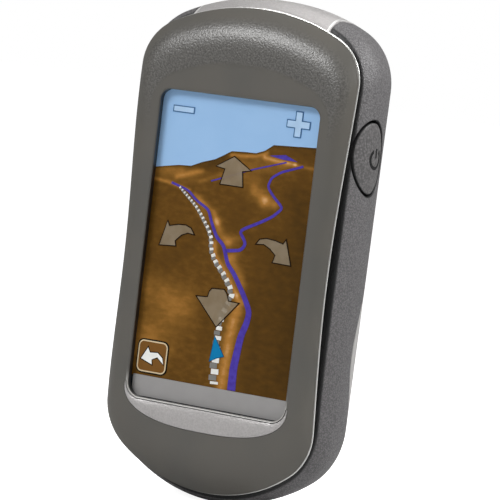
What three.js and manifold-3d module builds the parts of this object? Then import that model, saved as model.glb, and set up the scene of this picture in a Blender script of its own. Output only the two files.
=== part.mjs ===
// Handheld GPS unit with a touch screen, a rubber side band and a battery door on its back.
// Millimetres. X is the width, the screen faces -Y, Z is the height.
// The origin is below the middle of the case: x = 0 is the plane of symmetry,
// y = 0 is half the depth, and z = 0 is the lowest point.
// Inside the group, heights are measured from the middle of the case, which is CASE_HEIGHT / 2 up.

import * as THREE from 'three';
import { mergeVertices } from 'three/addons/utils/BufferGeometryUtils.js';
import Module from 'manifold-3d';

const wasm = await Module();
wasm.setup();

// ---------------------------------------------------------------- driving dimensions

const CASE_WIDTH = 58;
const CASE_HEIGHT = 114;
const CASE_DEPTH = 35;

const HALF_HEIGHT = CASE_HEIGHT / 2;
const RIM_FRONT = -CASE_DEPTH / 2; // the flat rim around the window, the foremost plane
const RAIL_BACK = CASE_DEPTH / 2; // the back of the clip rail, the rearmost plane

// The case is widest at this depth, and rounds off in front of it and behind it.
const WIDEST_DEPTH = -6.5;
const BACK_REACH = 21.5;
const FRONT_REACH = 18.2;
const BACK_ROUNDNESS = 2.2; // power of the rounded sides behind the widest depth
const END_ROUNDNESS = 4; // power of the rounded ends behind the widest depth
const END_FRONT_SHRINK = 0.033; // how much shorter the case is at the front of the band
const WIDTH_TAPER = 0.0004; // the case is a little wider at the top, per mm of height
const WIDEST_HEIGHT = 39.73; // where the top corners begin
const CASE_HALF_WIDTH = CASE_WIDTH / 2 / (1 + WIDTH_TAPER * WIDEST_HEIGHT);

// The front is curved along its height: its ends fall back behind the middle.
const TOP_FALL = 2.6;
const BOTTOM_FALL = 3.5;

// Layers at the front edge, at mid-height, from the front to the back.
const BEZEL_EDGE = -16.1;
const BEZEL_REAR = -15.6;
const TRIM_FRONT = -15.55;
const TRIM_REAR = -14.95;
const FRAME_FRONT = -14.7;
const BAND_FRONT = -14.15;
const BAND_EDGE = -13.4; // the rubber starts behind a dark groove
const TOP_CAP_FRONT = -14.8;
const FRAME_REAR = -9;
const SEAL_THICKNESS = 0.6;
const HOUSING_FRONT = -8.3;

// The bezel.
const BEZEL_HALF_WIDTH = 26.4;
const BEZEL_HALF_HEIGHT = 54.35;
const BEZEL_TAPER = 0.00038;
const WAIST_DEPTH = 1.1;
const WAIST_CENTRE = -2;
const WAIST_REACH = 42.6;

// The screen window.
const WINDOW_HALF_WIDTH = 19.9;
const WINDOW_TOP = 34.5;
const WINDOW_BOTTOM = -35.1;
const WINDOW_TOP_RADIUS = 2.5;
const WINDOW_BOTTOM_RADIUS = 3.3;
const PANEL_FRONT = -15.3;
const STRIP_TOP = -30.3;

// Thicknesses of the outer layer and of the rigid wall beneath it.
const SKIN = 1.8;
const WALL_OUTSIDE = 1.95;
const WALL_INSIDE = 3.5;

// The seam between the band and the battery door.
const SEAM_DEPTH = 1.94;
const SEAM_BULGE = 5.3;
const SEAM_BULGE_CENTRE = -19.5;
const SEAM_BULGE_REACH = 20;
const SEAM_GAP = 0.3;

// The battery door ends below the fixed top of the back.
const DOOR_TOP = 39.9;
const FIXED_BACK_BOTTOM = 40.4;

// Two hooks on the door's top edge reach under the fixed back. The door swings open about them.
const HOOK_OFFSET = 10.5;
const HOOK_FRONT = 8.8;
const HOOK_REAR = 10.4;
const HOOK_TOP = 42.4;

// Batteries: two AA cells side by side, one up and one down.
const CELL_RADIUS = 7.1;
const CELL_LENGTH = 50.5;
const CELL_OFFSET = 7.6;
const CELL_DEPTH = 4.5;
const BAY_FLOOR = -3.2;
const FLOOR_THICKNESS = 1.2;
const BAY_TOP = 23.5;
const BAY_BOTTOM = -34.5;
const BAY_HALF_WIDTH = 15.3;
const BAY_WALL = 1.7;
const BAY_RIM = 8;

// The circuit board.
const BOARD_FRONT = -7.6;
const BOARD_REAR = -6.6;
const BOARD_HALF_WIDTH = 18.6;

// The power button, on the right side.
const BUTTON_DEPTH = -7.2;
const BUTTON_HEIGHT = 24.7;
const BUTTON_SEMI_DEPTH = 5.5;
const BUTTON_SEMI_HEIGHT = 8;
const BUTTON_TILT = THREE.MathUtils.degToRad(9);
const BUTTON_CLEARANCE = 0.5;
const SWITCH_DEPTH = -5.5;

// The door latch at the lower end of the back.
const LATCH_PIN_DEPTH = 9.9;
const LATCH_PIN_HEIGHT = -46;
const LATCH_HALF_WIDTH = 7.2;
const LATCH_HUB_RADIUS = 2;
const LATCH_PIN_RADIUS = 0.8;

// The rubber cap over the USB port, in the bottom end.
const CAP_HALF_WIDTH = 6.5;
const CAP_FRONT = -9.6;
const CAP_REAR = -2.4;

// The top cap.
const TOP_CAP_HALF_WIDTH = 17.2;
const TOP_CAP_BOTTOM = 44;

const ARC_SEGMENTS = 2;
const SIDE_STEPS = 6; // straight steps along each side, so that the sides can curve
const FAR = 80; // a size well beyond the object, for cutting shapes
const GAP = 0.15; // a small clearance between neighbours

// ---------------------------------------------------------------- solids

function solid(geometry) {
  const bare = geometry.clone();
  bare.deleteAttribute('normal');
  bare.deleteAttribute('uv');
  const merged = mergeVertices(bare, 1e-4);
  return new wasm.Manifold(new wasm.Mesh({
    numProp: 3,
    vertProperties: new Float32Array(merged.attributes.position.array),
    triVerts: new Uint32Array(merged.index.array),
  }));
}

function box(x0, x1, y0, y1, z0, z1) {
  const geometry = new THREE.BoxGeometry(x1 - x0, y1 - y0, z1 - z0);
  geometry.translate((x0 + x1) / 2, (y0 + y1) / 2, (z0 + z1) / 2);
  return solid(geometry);
}

// A box centred on x = 0.
function middleBox(halfWidth, y0, y1, z0, z1) {
  return box(-halfWidth, halfWidth, y0, y1, z0, z1);
}

// An outline drawn in X and Z, pushed along Y from yFront to yRear.
function plateFacingY(outline, yFront, yRear) {
  const geometry = new THREE.ExtrudeGeometry(outline, {
    depth: yRear - yFront,
    bevelEnabled: false,
    curveSegments: ARC_SEGMENTS,
  });
  geometry.rotateX(Math.PI / 2);
  geometry.translate(0, yRear, 0);
  return solid(geometry);
}

// An outline drawn in Y and Z, pushed along X from x0 to x1.
function plateFacingX(outline, x0, x1) {
  const geometry = new THREE.ExtrudeGeometry(outline, {
    depth: x1 - x0,
    bevelEnabled: false,
    curveSegments: ARC_SEGMENTS,
  });
  geometry.applyMatrix4(new THREE.Matrix4().set(
    0, 0, 1, x0,
    1, 0, 0, 0,
    0, 1, 0, 0,
    0, 0, 0, 1,
  ));
  return solid(geometry);
}

function polygon(points) {
  return new THREE.Shape(points.map(([a, b]) => new THREE.Vector2(a, b)));
}

function roundedRectangle(x0, x1, z0, z1, bottomRadius, topRadius) {
  const shape = new THREE.Shape();
  shape.absarc(x1 - bottomRadius, z0 + bottomRadius, bottomRadius, -Math.PI / 2, 0);
  shape.absarc(x1 - topRadius, z1 - topRadius, topRadius, 0, Math.PI / 2);
  shape.absarc(x0 + topRadius, z1 - topRadius, topRadius, Math.PI / 2, Math.PI);
  shape.absarc(x0 + bottomRadius, z0 + bottomRadius, bottomRadius, Math.PI, 1.5 * Math.PI);
  return shape;
}

function cylinderAlongX(radius, x0, x1, y, z, sides = 20) {
  const geometry = new THREE.CylinderGeometry(radius, radius, x1 - x0, sides);
  geometry.rotateZ(Math.PI / 2);
  geometry.translate((x0 + x1) / 2, y, z);
  return solid(geometry);
}

function cylinderAlongY(radius, y0, y1, x, z, sides = 16) {
  const geometry = new THREE.CylinderGeometry(radius, radius, y1 - y0, sides);
  geometry.translate(x, (y0 + y1) / 2, z);
  return solid(geometry);
}

// ---------------------------------------------------------------- the case outline

// A closed outline with arched ends: a top and a bottom arc, four corner arcs and straight sides.
function archedOutline({ halfWidth, halfHeight, topArc, bottomArc, topCorner, bottomCorner }) {
  const topCentre = halfHeight - topArc;
  const bottomCentre = bottomArc - halfHeight;
  const topCornerX = halfWidth - topCorner;
  const bottomCornerX = halfWidth - bottomCorner;
  const topCornerZ = topCentre + Math.sqrt((topArc - topCorner) ** 2 - topCornerX ** 2);
  const bottomCornerZ = bottomCentre - Math.sqrt((bottomArc - bottomCorner) ** 2 - bottomCornerX ** 2);
  const topAngle = Math.atan2(topCornerZ - topCentre, topCornerX);
  const bottomAngle = Math.atan2(bottomCornerZ - bottomCentre, bottomCornerX);
  const up = Math.PI / 2;
  const shape = new THREE.Shape();
  shape.absarc(0, bottomCentre, bottomArc, -up, bottomAngle);
  shape.absarc(bottomCornerX, bottomCornerZ, bottomCorner, bottomAngle, 0);
  for (let i = 1; i < SIDE_STEPS; i++) {
    shape.lineTo(halfWidth, THREE.MathUtils.lerp(bottomCornerZ, topCornerZ, i / SIDE_STEPS));
  }
  shape.absarc(topCornerX, topCornerZ, topCorner, 0, topAngle);
  shape.absarc(0, topCentre, topArc, topAngle, up);
  shape.absarc(0, topCentre, topArc, up, Math.PI - topAngle);
  shape.absarc(-topCornerX, topCornerZ, topCorner, Math.PI - topAngle, Math.PI);
  for (let i = 1; i < SIDE_STEPS; i++) {
    shape.lineTo(-halfWidth, THREE.MathUtils.lerp(topCornerZ, bottomCornerZ, i / SIDE_STEPS));
  }
  shape.absarc(-bottomCornerX, bottomCornerZ, bottomCorner, Math.PI, Math.PI - bottomAngle);
  shape.absarc(0, bottomCentre, bottomArc, Math.PI - bottomAngle, 3 * up);
  return shape;
}

const bodyOutline = (inset) => archedOutline({
  halfWidth: CASE_HALF_WIDTH - inset,
  halfHeight: HALF_HEIGHT - inset,
  topArc: 48 - inset,
  bottomArc: 37 - inset,
  topCorner: 14 - inset,
  bottomCorner: 16 - inset,
});

const bezelOutline = (offset) => archedOutline({
  halfWidth: BEZEL_HALF_WIDTH + offset,
  halfHeight: BEZEL_HALF_HEIGHT + offset,
  topArc: 45.6 + offset,
  bottomArc: 34.5 + offset,
  topCorner: 11.2 + offset,
  bottomCorner: 13.2 + offset,
});

// How far the ends of the front fall back at this height.
function endFall(z) {
  const end = z > 0 ? TOP_FALL : BOTTOM_FALL;
  return end * (Math.abs(z) / BEZEL_HALF_HEIGHT) ** 3;
}

// How much the bezel draws in at its waist.
function waist(z) {
  const t = (z - WAIST_CENTRE) / WAIST_REACH;
  return Math.abs(t) < 1 ? WAIST_DEPTH * Math.cos(t * Math.PI / 2) ** 2 : 0;
}

// A solid whose cross-section is one outline, resized at each level.
// Levels run from the back to the front, and place(x, z, level) gives each corner of a level.
function loft(outline, levels, place) {
  const geometry = new THREE.ExtrudeGeometry(outline, {
    depth: levels.length - 1,
    steps: levels.length - 1,
    bevelEnabled: false,
    curveSegments: ARC_SEGMENTS,
  });
  const corners = geometry.attributes.position;
  for (let i = 0; i < corners.count; i++) {
    const level = levels[Math.round(corners.getZ(i))];
    corners.setXYZ(i, ...place(corners.getX(i) * level.scaleX, corners.getY(i) * level.scaleZ, level));
  }
  return solid(geometry);
}

// A smaller copy of a level in the same bent surface, so that a bent end face is built from its rim in.
function shrunk(level) {
  return { ...level, scaleX: level.scaleX * 0.55, scaleZ: level.scaleZ * 0.55 };
}

// The case, drawn in by an inset, from a depth at the front to its rounded back.
function body(inset, front = BAND_FRONT) {
  const backReach = BACK_REACH - inset;
  const levels = [0.985, 0.94, 0.86, 0.74, 0.58, 0.4, 0.2, 0].map((k) => ({
    y: WIDEST_DEPTH + k * backReach,
    scaleX: (1 - k ** BACK_ROUNDNESS) ** (1 / BACK_ROUNDNESS),
    scaleZ: (1 - k ** END_ROUNDNESS) ** (1 / END_ROUNDNESS),
  }));
  const frontSpan = WIDEST_DEPTH - BAND_FRONT;
  for (const y of [-8.5, -10.5, -12.4, front]) {
    const k = (WIDEST_DEPTH - y) / FRONT_REACH;
    const t = (WIDEST_DEPTH - y) / frontSpan;
    levels.push({
      y,
      scaleX: Math.sqrt(1 - k * k),
      scaleZ: 1 - END_FRONT_SHRINK * t * t,
      fall: t,
    });
  }
  levels.push(shrunk(levels.at(-1)));
  return loft(bodyOutline(inset), levels, (x, z, level) => [
    x * (1 + WIDTH_TAPER * z),
    level.y + (level.fall ?? 0) * endFall(z),
    z,
  ]);
}

// Everything behind the seam between the band and the door, moved back by a gap.
function behindSeam(gap) {
  const outline = [[FAR, -FAR]];
  outline.push([FAR, FAR]);
  outline.push([SEAM_DEPTH + gap, FAR]);
  const steps = 16;
  for (let i = 0; i <= steps; i++) {
    const t = 1 - 2 * i / steps;
    const bulge = SEAM_BULGE * Math.cos(t * Math.PI / 2) ** 2;
    outline.push([SEAM_DEPTH + gap - bulge, SEAM_BULGE_CENTRE + t * SEAM_BULGE_REACH]);
  }
  outline.push([SEAM_DEPTH + gap, -FAR]);
  return plateFacingX(polygon(outline.reverse()), -FAR, FAR);
}

// The power button's oval, grown by a margin, as a bar along X.
function buttonOval(margin, x0, x1) {
  const shape = new THREE.Shape();
  shape.absellipse(0, 0, BUTTON_SEMI_DEPTH + margin, BUTTON_SEMI_HEIGHT + margin, 0, 2 * Math.PI, false);
  const geometry = new THREE.ExtrudeGeometry(shape, {
    depth: x1 - x0,
    bevelEnabled: false,
    curveSegments: 24,
  });
  geometry.rotateZ(BUTTON_TILT);
  geometry.applyMatrix4(new THREE.Matrix4().set(
    0, 0, 1, x0,
    1, 0, 0, BUTTON_DEPTH,
    0, 1, 0, BUTTON_HEIGHT,
    0, 0, 0, 1,
  ));
  return solid(geometry);
}

const caseBody = body(0);
const underSkin = body(SKIN, BAND_FRONT - 1);
const wallOutside = body(WALL_OUTSIDE, FRAME_FRONT);
const wallInside = body(WALL_INSIDE, FRAME_FRONT - 1);

// ---------------------------------------------------------------- the model

const device = new THREE.Group();
device.position.z = HALF_HEIGHT;

function add(name, shape, color, roughness, metalness = 0) {
  const mesh = shape.getMesh();
  const geometry = new THREE.BufferGeometry();
  geometry.setAttribute('position', new THREE.BufferAttribute(mesh.vertProperties, 3));
  geometry.setIndex(new THREE.BufferAttribute(mesh.triVerts, 1));
  geometry.computeVertexNormals();
  const material = new THREE.MeshStandardMaterial({ color, roughness, metalness });
  const part = new THREE.Mesh(geometry, material);
  part.name = name;
  device.add(part);
}

// ---------------------------------------------------------------- front face

// Puts a corner of the bezel's outline in place: waisted in X, and bent back towards the ends.
function placeOnFront(x, z, level) {
  return [
    x * (1 + BEZEL_TAPER * z - waist(z) / BEZEL_HALF_WIDTH),
    level.y + level.fall * endFall(z),
    z,
  ];
}

function frontBezel() {
  const rear = { y: BEZEL_REAR, scaleX: 1, scaleZ: 1, fall: 1 };
  const levels = [
    shrunk(rear),
    rear,
    { y: BEZEL_EDGE, scaleX: 1, scaleZ: 1, fall: 1 },
    { y: -16.8, scaleX: 0.965, scaleZ: 0.955, fall: 0.75 },
    { y: -17.3, scaleX: 0.91, scaleZ: 0.87, fall: 0.3 },
    { y: RIM_FRONT, scaleX: 0.83, scaleZ: 0.765, fall: 0 },
  ];
  const plate = loft(bezelOutline(0), levels, placeOnFront);
  const window = plateFacingY(roundedRectangle(
    -WINDOW_HALF_WIDTH, WINDOW_HALF_WIDTH, WINDOW_BOTTOM, WINDOW_TOP,
    WINDOW_BOTTOM_RADIUS, WINDOW_TOP_RADIUS,
  ), -FAR, FAR);
  const panelPocket = middleBox(22.4, PANEL_FRONT - 0.6, FAR, -38, 37.4);
  return plate.subtract(window).subtract(panelPocket).subtract(crescent(0.05, RIM_FRONT + 0.85));
}

// The crescent below the window: a flat moon between two arcs.
function crescent(margin, rear) {
  const tip = 20.2 + margin;
  const shape = new THREE.Shape();
  shape.moveTo(-tip, -35.7);
  shape.quadraticCurveTo(-19, -39.6 - margin, -9, -40.3 - margin);
  shape.quadraticCurveTo(0, -40.9 - margin, 9, -40.3 - margin);
  shape.quadraticCurveTo(19, -39.6 - margin, tip, -35.7);
  shape.quadraticCurveTo(0, -36.3 + margin, -tip, -35.7);
  return plateFacingY(shape, RIM_FRONT - (margin > 0 ? 1 : 0), rear);
}

// A plate with the bezel's waisted outline, bent to follow the ends of the front.
function bentPlate(offset, front, rear) {
  const rearLevel = { y: rear, scaleX: 1, scaleZ: 1, fall: 1 };
  const frontLevel = { ...rearLevel, y: front };
  const levels = [shrunk(rearLevel), rearLevel, frontLevel, shrunk(frontLevel)];
  return loft(bezelOutline(offset), levels, placeOnFront);
}

function trimRing() {
  return bentPlate(0.35, TRIM_FRONT, TRIM_REAR).subtract(bentPlate(-1.5, TRIM_FRONT - 1, TRIM_REAR + 1));
}

// A flat frame with a rectangular opening.
function pictureFrame(outer, inner, yFront, yRear) {
  const [x, z0, z1] = outer;
  const [openX, open0, open1] = inner;
  return middleBox(x, yFront, yRear, z0, z1).subtract(middleBox(openX, -FAR, FAR, open0, open1));
}

function lcdTray() {
  const tray = middleBox(21.9, -14.1, -10.7, -33, 37);
  return tray.subtract(middleBox(21.3, -FAR, -11.3, -32.4, 36.4));
}

// The flat cable from the foot of the screen, through the frame, to the front of the board.
function displayCable() {
  const thickness = 0.25;
  const reach = BOARD_FRONT - 0.1;
  return plateFacingX(polygon([
    [-12.6, -33.1],
    [-12.6, -36.2],
    [reach, -36.2],
    [reach, -30],
    [reach - thickness, -30],
    [reach - thickness, -36.2 + thickness],
    [-12.6 + thickness, -36.2 + thickness],
    [-12.6 + thickness, -33.1],
  ]), -8, 8);
}

const caseScrewPlaces = [[-21.3, 36], [21.3, 36], [-21.1, -37.5], [21.1, -37.5]];
const boardScrewPlaces = [[-15, 41], [15, -41]];

function frontFrame() {
  const hollowFront = -12.6;
  const beyondFrame = middleBox(FAR, FRAME_REAR, FAR, -FAR, FAR);
  let frame = wallOutside.subtract(beyondFrame).subtract(bentPlate(-1.5, -FAR, FRAME_FRONT + 0.8));
  const displayPocket = middleBox(22.6, -FAR, -10.2, -38.2, 37.8);
  const topHollow = wallInside.intersect(middleBox(FAR, hollowFront, 0, 39.3, FAR));
  const bottomHollow = wallInside.intersect(middleBox(FAR, hollowFront, 0, -FAR, -39.7));
  const cableSlot = middleBox(9, -FAR, 0, -37.5, -34.5);
  frame = frame.subtract(displayPocket).subtract(topHollow).subtract(bottomHollow).subtract(cableSlot);
  for (const [x, z] of caseScrewPlaces) {
    const post = cylinderAlongY(2.3, FRAME_REAR - 1, -4.6, x, z);
    frame = frame.add(post);
  }
  for (const [x, z] of boardScrewPlaces) {
    const post = cylinderAlongY(2, hollowFront - 0.5, BOARD_FRONT - 0.05, x, z);
    frame = frame.add(post);
  }
  for (const [x, z] of caseScrewPlaces) {
    frame = frame.subtract(cylinderAlongY(1.15, -9.9, 0, x, z));
  }
  for (const [x, z] of boardScrewPlaces) {
    frame = frame.subtract(cylinderAlongY(0.95, -11.5, 0, x, z));
  }
  return frame;
}

add('front_bezel', frontBezel(), 0x5f5d56, 0.5);
add('crescent_insert', crescent(0, RIM_FRONT + 0.75), 0xafacac, 0.45, 0.6);
add('trim_ring', trimRing(), 0xd6d6d4, 0.2, 1);
add('display_gasket', pictureFrame([22.2, -37.8, 37.2], [20.4, -35.6, 35], -15.85, -15.35), 0x1a1a1a, 0.9);
add('display_lower_strip', middleBox(19.7, -15.6, -15.35, -35, STRIP_TOP), 0xa0a0a0, 0.4, 0.7);
add('touch_panel', middleBox(22.2, PANEL_FRONT, -14.2, -37.8, 37.2), 0x9fc4dd, 0.15);
add('lcd_panel', middleBox(21, -14.05, -12.4, -32.2, 36.2), 0x20262b, 0.2);
add('backlight', middleBox(21, -12.3, -11.4, -32.2, 36.2), 0xf0f2f2, 0.4);
add('lcd_tray', lcdTray(), 0xb5b5b2, 0.35, 1);
add('display_cable', displayCable(), 0xb5752a, 0.5);
add('front_frame', frontFrame(), 0x161616, 0.6);

// ---------------------------------------------------------------- band, top cap and button

// The rubber layer around the whole side, before its openings are cut.
const rubberShell = body(0, BAND_EDGE)
  .subtract(body(SKIN, BAND_EDGE - 1))
  .subtract(behindSeam(-SEAM_GAP / 2));

function rubberBand() {
  const topCapHole = middleBox(TOP_CAP_HALF_WIDTH + GAP, -FAR, FAR, TOP_CAP_BOTTOM, FAR);
  const capHole = middleBox(CAP_HALF_WIDTH + 0.25, CAP_FRONT - 0.25, CAP_REAR + 0.3, -FAR, -50);
  return rubberShell
    .subtract(topCapHole)
    .subtract(capHole)
    .subtract(buttonOval(BUTTON_CLEARANCE, 15, 40));
}

function topCap() {
  return body(0, TOP_CAP_FRONT)
    .subtract(body(SKIN, TOP_CAP_FRONT - 1))
    .subtract(behindSeam(-SEAM_GAP / 2))
    .intersect(middleBox(TOP_CAP_HALF_WIDTH, -FAR, FAR, TOP_CAP_BOTTOM, FAR));
}

function powerButton() {
  const cap = caseBody.subtract(body(1.5)).intersect(buttonOval(0, 15, 40));
  const stem = cylinderAlongX(1.2, 19.65, 27.6, SWITCH_DEPTH, BUTTON_HEIGHT);
  return cap.add(stem);
}

function usbCap() {
  const flap = rubberShell.intersect(middleBox(CAP_HALF_WIDTH, CAP_FRONT, CAP_REAR, -FAR, -50));
  const plug = middleBox(3.4, -7.2, -4.6, -55.5, -54.25);
  return flap.add(plug);
}

add('rubber_band', rubberBand(), 0x5a5858, 0.8);
add('top_cap', topCap(), 0xbebebc, 0.45, 0.6);
add('power_button', powerButton(), 0x565555, 0.75);
add('usb_cap', usbCap(), 0x4c4c4e, 0.8);

// ---------------------------------------------------------------- case and seals

function caseSeal() {
  const ring = body(2.15, FRAME_FRONT).subtract(body(WALL_INSIDE - 0.2, FRAME_FRONT - 1));
  const front = FRAME_REAR + 0.05;
  return ring.intersect(middleBox(FAR, front, front + SEAL_THICKNESS, -FAR, FAR));
}

function rearHousing() {
  const floorFront = BAY_FLOOR - FLOOR_THICKNESS;
  const bayOutside = BAY_HALF_WIDTH + BAY_WALL;
  let housing = wallOutside.subtract(wallInside)
    .intersect(middleBox(FAR, HOUSING_FRONT, 3, -FAR, FAR));
  const floor = body(2.5).intersect(middleBox(FAR, floorFront, BAY_FLOOR, -FAR, FAR));
  const bay = middleBox(bayOutside, floorFront, BAY_RIM, BAY_BOTTOM - BAY_WALL, BAY_TOP + BAY_WALL)
    .subtract(middleBox(BAY_HALF_WIDTH, BAY_FLOOR, FAR, BAY_BOTTOM, BAY_TOP));
  const portHood = middleBox(6, floorFront - 0.2, -2.2, -53.8, -42);
  const fixedBack = caseBody.subtract(body(2.6))
    .intersect(middleBox(FAR, SEAM_DEPTH + GAP, FAR, FIXED_BACK_BOTTOM, FAR));
  const latchPost = middleBox(5, 2, 6.9, -FAR, -50.4).add(middleBox(5, 5.6, 6.9, -FAR, -48.9))
    .intersect(wallOutside);
  housing = housing.add(floor).add(bay).add(portHood).add(fixedBack).add(latchPost);
  const portPocket = middleBox(4.6, -8.35, -3.3, -FAR, -43);
  const cardWindow = middleBox(6.6, -FAR, 0, -26, -13);
  housing = housing.subtract(portPocket).subtract(cardWindow).subtract(buttonOval(BUTTON_CLEARANCE, 15, 40));
  for (const side of [-1, 1]) {
    const hookPocket = middleBox(2.9, 4, HOOK_REAR + 0.3, FIXED_BACK_BOTTOM - 1, HOOK_TOP + 0.4);
    housing = housing.subtract(hookPocket.translate([HOOK_OFFSET * side, 0, 0]));
  }
  for (const [x, z] of caseScrewPlaces) {
    housing = housing.subtract(cylinderAlongY(1.15, -FAR, 0, x, z));
  }
  return housing;
}

add('case_seal', caseSeal(), 0x202020, 0.9);
add('rear_housing', rearHousing(), 0x2b2b2c, 0.7);

// ---------------------------------------------------------------- battery door and latch

function clipRail() {
  const foot = middleBox(4.5, 14.2, 16.1, -26, 22);
  const head = middleBox(6.5, 16, RAIL_BACK, -26, 22);
  return foot.add(head);
}

function batteryDoor() {
  const skin = caseBody.subtract(underSkin)
    .intersect(behindSeam(SEAM_GAP / 2))
    .intersect(middleBox(FAR, -FAR, FAR, -FAR, DOOR_TOP));
  let door = skin.add(clipRail());
  for (const side of [-1, 1]) {
    const hookRoot = middleBox(2.5, HOOK_FRONT, 13, 35.5, DOOR_TOP - 0.3);
    const hookTongue = middleBox(2.5, HOOK_FRONT, HOOK_REAR, 35.5, HOOK_TOP);
    const hook = hookRoot.add(hookTongue).translate([HOOK_OFFSET * side, 0, 0]);
    const ear = middleBox(1.3, 7.6, 13, -48.5, -43.3).translate([9.2 * side, 0, 0]);
    door = door.add(hook.add(ear).intersect(body(0.6)));
  }
  const latchOpening = middleBox(LATCH_HALF_WIDTH + 0.4, 6, FAR, -48.6, -36.1);
  const pinHole = cylinderAlongX(LATCH_PIN_RADIUS + 0.2, -9.8, 9.8, LATCH_PIN_DEPTH, LATCH_PIN_HEIGHT);
  return door.subtract(latchOpening).subtract(pinHole);
}

function latchLever() {
  const plate = caseBody.subtract(body(2.2))
    .intersect(middleBox(LATCH_HALF_WIDTH, 6, FAR, -48, -36.5));
  const hub = cylinderAlongX(
    LATCH_HUB_RADIUS, -LATCH_HALF_WIDTH, LATCH_HALF_WIDTH, LATCH_PIN_DEPTH, LATCH_PIN_HEIGHT,
  );
  const hook = plateFacingX(polygon([
    [10.5, -47.8],
    [10, -45],
    [8, -44.6],
    [3.7, -46.8],
    [3.7, -49.9],
    [5.3, -49.9],
    [5.3, -48.4],
    [7.2, -48.4],
  ]), -4, 4);
  const pinHole = cylinderAlongX(LATCH_PIN_RADIUS + 0.2, -FAR, FAR, LATCH_PIN_DEPTH, LATCH_PIN_HEIGHT);
  return plate.add(hub).add(hook).subtract(pinHole);
}

const latchPin = cylinderAlongX(LATCH_PIN_RADIUS, -9.6, 9.6, LATCH_PIN_DEPTH, LATCH_PIN_HEIGHT, 16);
const doorSeal = pictureFrame(
  [BAY_HALF_WIDTH + BAY_WALL, BAY_BOTTOM - BAY_WALL, BAY_TOP + BAY_WALL],
  [BAY_HALF_WIDTH + 0.2, BAY_BOTTOM - 0.2, BAY_TOP + 0.2],
  BAY_RIM + 0.05, BAY_RIM + 0.75,
);

add('battery_door', batteryDoor(), 0xa8a8a6, 0.45, 0.5);
add('latch_lever', latchLever(), 0x303032, 0.5);
add('latch_pin', latchPin, 0xc8c8c8, 0.25, 1);
add('door_seal', doorSeal, 0x242424, 0.9);

// ---------------------------------------------------------------- batteries and contacts

// A cell standing on its flat end, with its button end up.
function cell() {
  const buttonRadius = 2.7;
  const buttonHeight = 1.2;
  const shoulder = CELL_LENGTH - buttonHeight;
  const profile = [
    [0, 0],
    [5.6, 0],
    [CELL_RADIUS - 0.4, 0.15],
    [CELL_RADIUS, 0.6],
    [CELL_RADIUS, shoulder - 0.6],
    [CELL_RADIUS - 0.5, shoulder],
    [buttonRadius, shoulder],
    [buttonRadius, CELL_LENGTH - 0.2],
    [buttonRadius - 0.3, CELL_LENGTH],
    [0, CELL_LENGTH],
  ].map(([r, h]) => new THREE.Vector2(r, h));
  const geometry = new THREE.LatheGeometry(profile, 24);
  geometry.rotateX(Math.PI / 2);
  return solid(geometry);
}

class Coil extends THREE.Curve {
  constructor(baseRadius, tipRadius, height, turns) {
    super();
    Object.assign(this, { baseRadius, tipRadius, height, turns });
  }

  getPoint(t) {
    const radius = THREE.MathUtils.lerp(this.baseRadius, this.tipRadius, t);
    const angle = 2 * Math.PI * this.turns * t;
    return new THREE.Vector3(radius * Math.cos(angle), radius * Math.sin(angle), this.height * t);
  }
}

// A conical spring that stands on a plate and narrows to its tip.
function coilSpring(height) {
  const wireRadius = 0.35;
  const turns = 3;
  const section = new THREE.Shape();
  section.absarc(0, 0, wireRadius, 0, 2 * Math.PI);
  const geometry = new THREE.ExtrudeGeometry(section, {
    steps: 16 * turns,
    curveSegments: 3,
    bevelEnabled: false,
    extrudePath: new Coil(4.4, 2.6, height - wireRadius, turns),
  });
  return solid(geometry);
}

const PLATE = 0.4; // thickness of a contact
const springHeight = 5.4;

function contactPlate(x0, x1, z0) {
  return box(x0, x1, CELL_DEPTH - 5, CELL_DEPTH + 5, z0, z0 + PLATE);
}

const contactBottom = BAY_BOTTOM + 0.2;
const contactTop = BAY_TOP - 0.2 - PLATE;
const upCellFoot = contactTop - 0.1 - CELL_LENGTH;
const downCellFoot = contactBottom + PLATE + 0.1 + CELL_LENGTH;

const springContact = contactPlate(-13, -2.2, contactBottom).add(
  coilSpring(springHeight).translate([-CELL_OFFSET, CELL_DEPTH, contactBottom + PLATE - 0.1]),
);
const flatContact = contactPlate(2.2, 13, contactBottom);
const bridgeContact = contactPlate(-13, 13, contactTop).add(
  coilSpring(springHeight).rotate([180, 0, 0]).translate([CELL_OFFSET, CELL_DEPTH, contactTop + 0.1]),
);

add('battery_left', cell().translate([-CELL_OFFSET, CELL_DEPTH, upCellFoot]), 0x2f3a46, 0.4, 0.3);
add(
  'battery_right',
  cell().rotate([180, 0, 0]).translate([CELL_OFFSET, CELL_DEPTH, downCellFoot]),
  0x2f3a46, 0.4, 0.3,
);
add('battery_spring_contact', springContact, 0xc9c9c4, 0.3, 1);
add('battery_flat_contact', flatContact, 0xc9c9c4, 0.3, 1);
add('battery_bridge_contact', bridgeContact, 0xc9c9c4, 0.3, 1);

// ---------------------------------------------------------------- electronics

function mainBoard() {
  const outline = polygon([
    [-BOARD_HALF_WIDTH, -44],
    [-13, -50],
    [-4.3, -50],
    [-4.3, -44.7],
    [4.3, -44.7],
    [4.3, -50],
    [13, -50],
    [BOARD_HALF_WIDTH, -44],
    [BOARD_HALF_WIDTH, 45],
    [11, 49],
    [-11, 49],
    [-BOARD_HALF_WIDTH, 45],
  ]);
  let board = plateFacingY(outline, BOARD_FRONT, BOARD_REAR);
  for (const [x, z] of boardScrewPlaces) {
    board = board.subtract(cylinderAlongY(1.15, -FAR, FAR, x, z));
  }
  return board;
}

// A thin metal can with an open front, soldered to the rear of the board.
function rfShield() {
  const front = BOARD_REAR + 0.05;
  const can = box(-11, 7, front, front + 1.9, 8, 26);
  return can.subtract(box(-10.8, 6.8, front - 1, front + 1.7, 8.2, 25.8));
}

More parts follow.
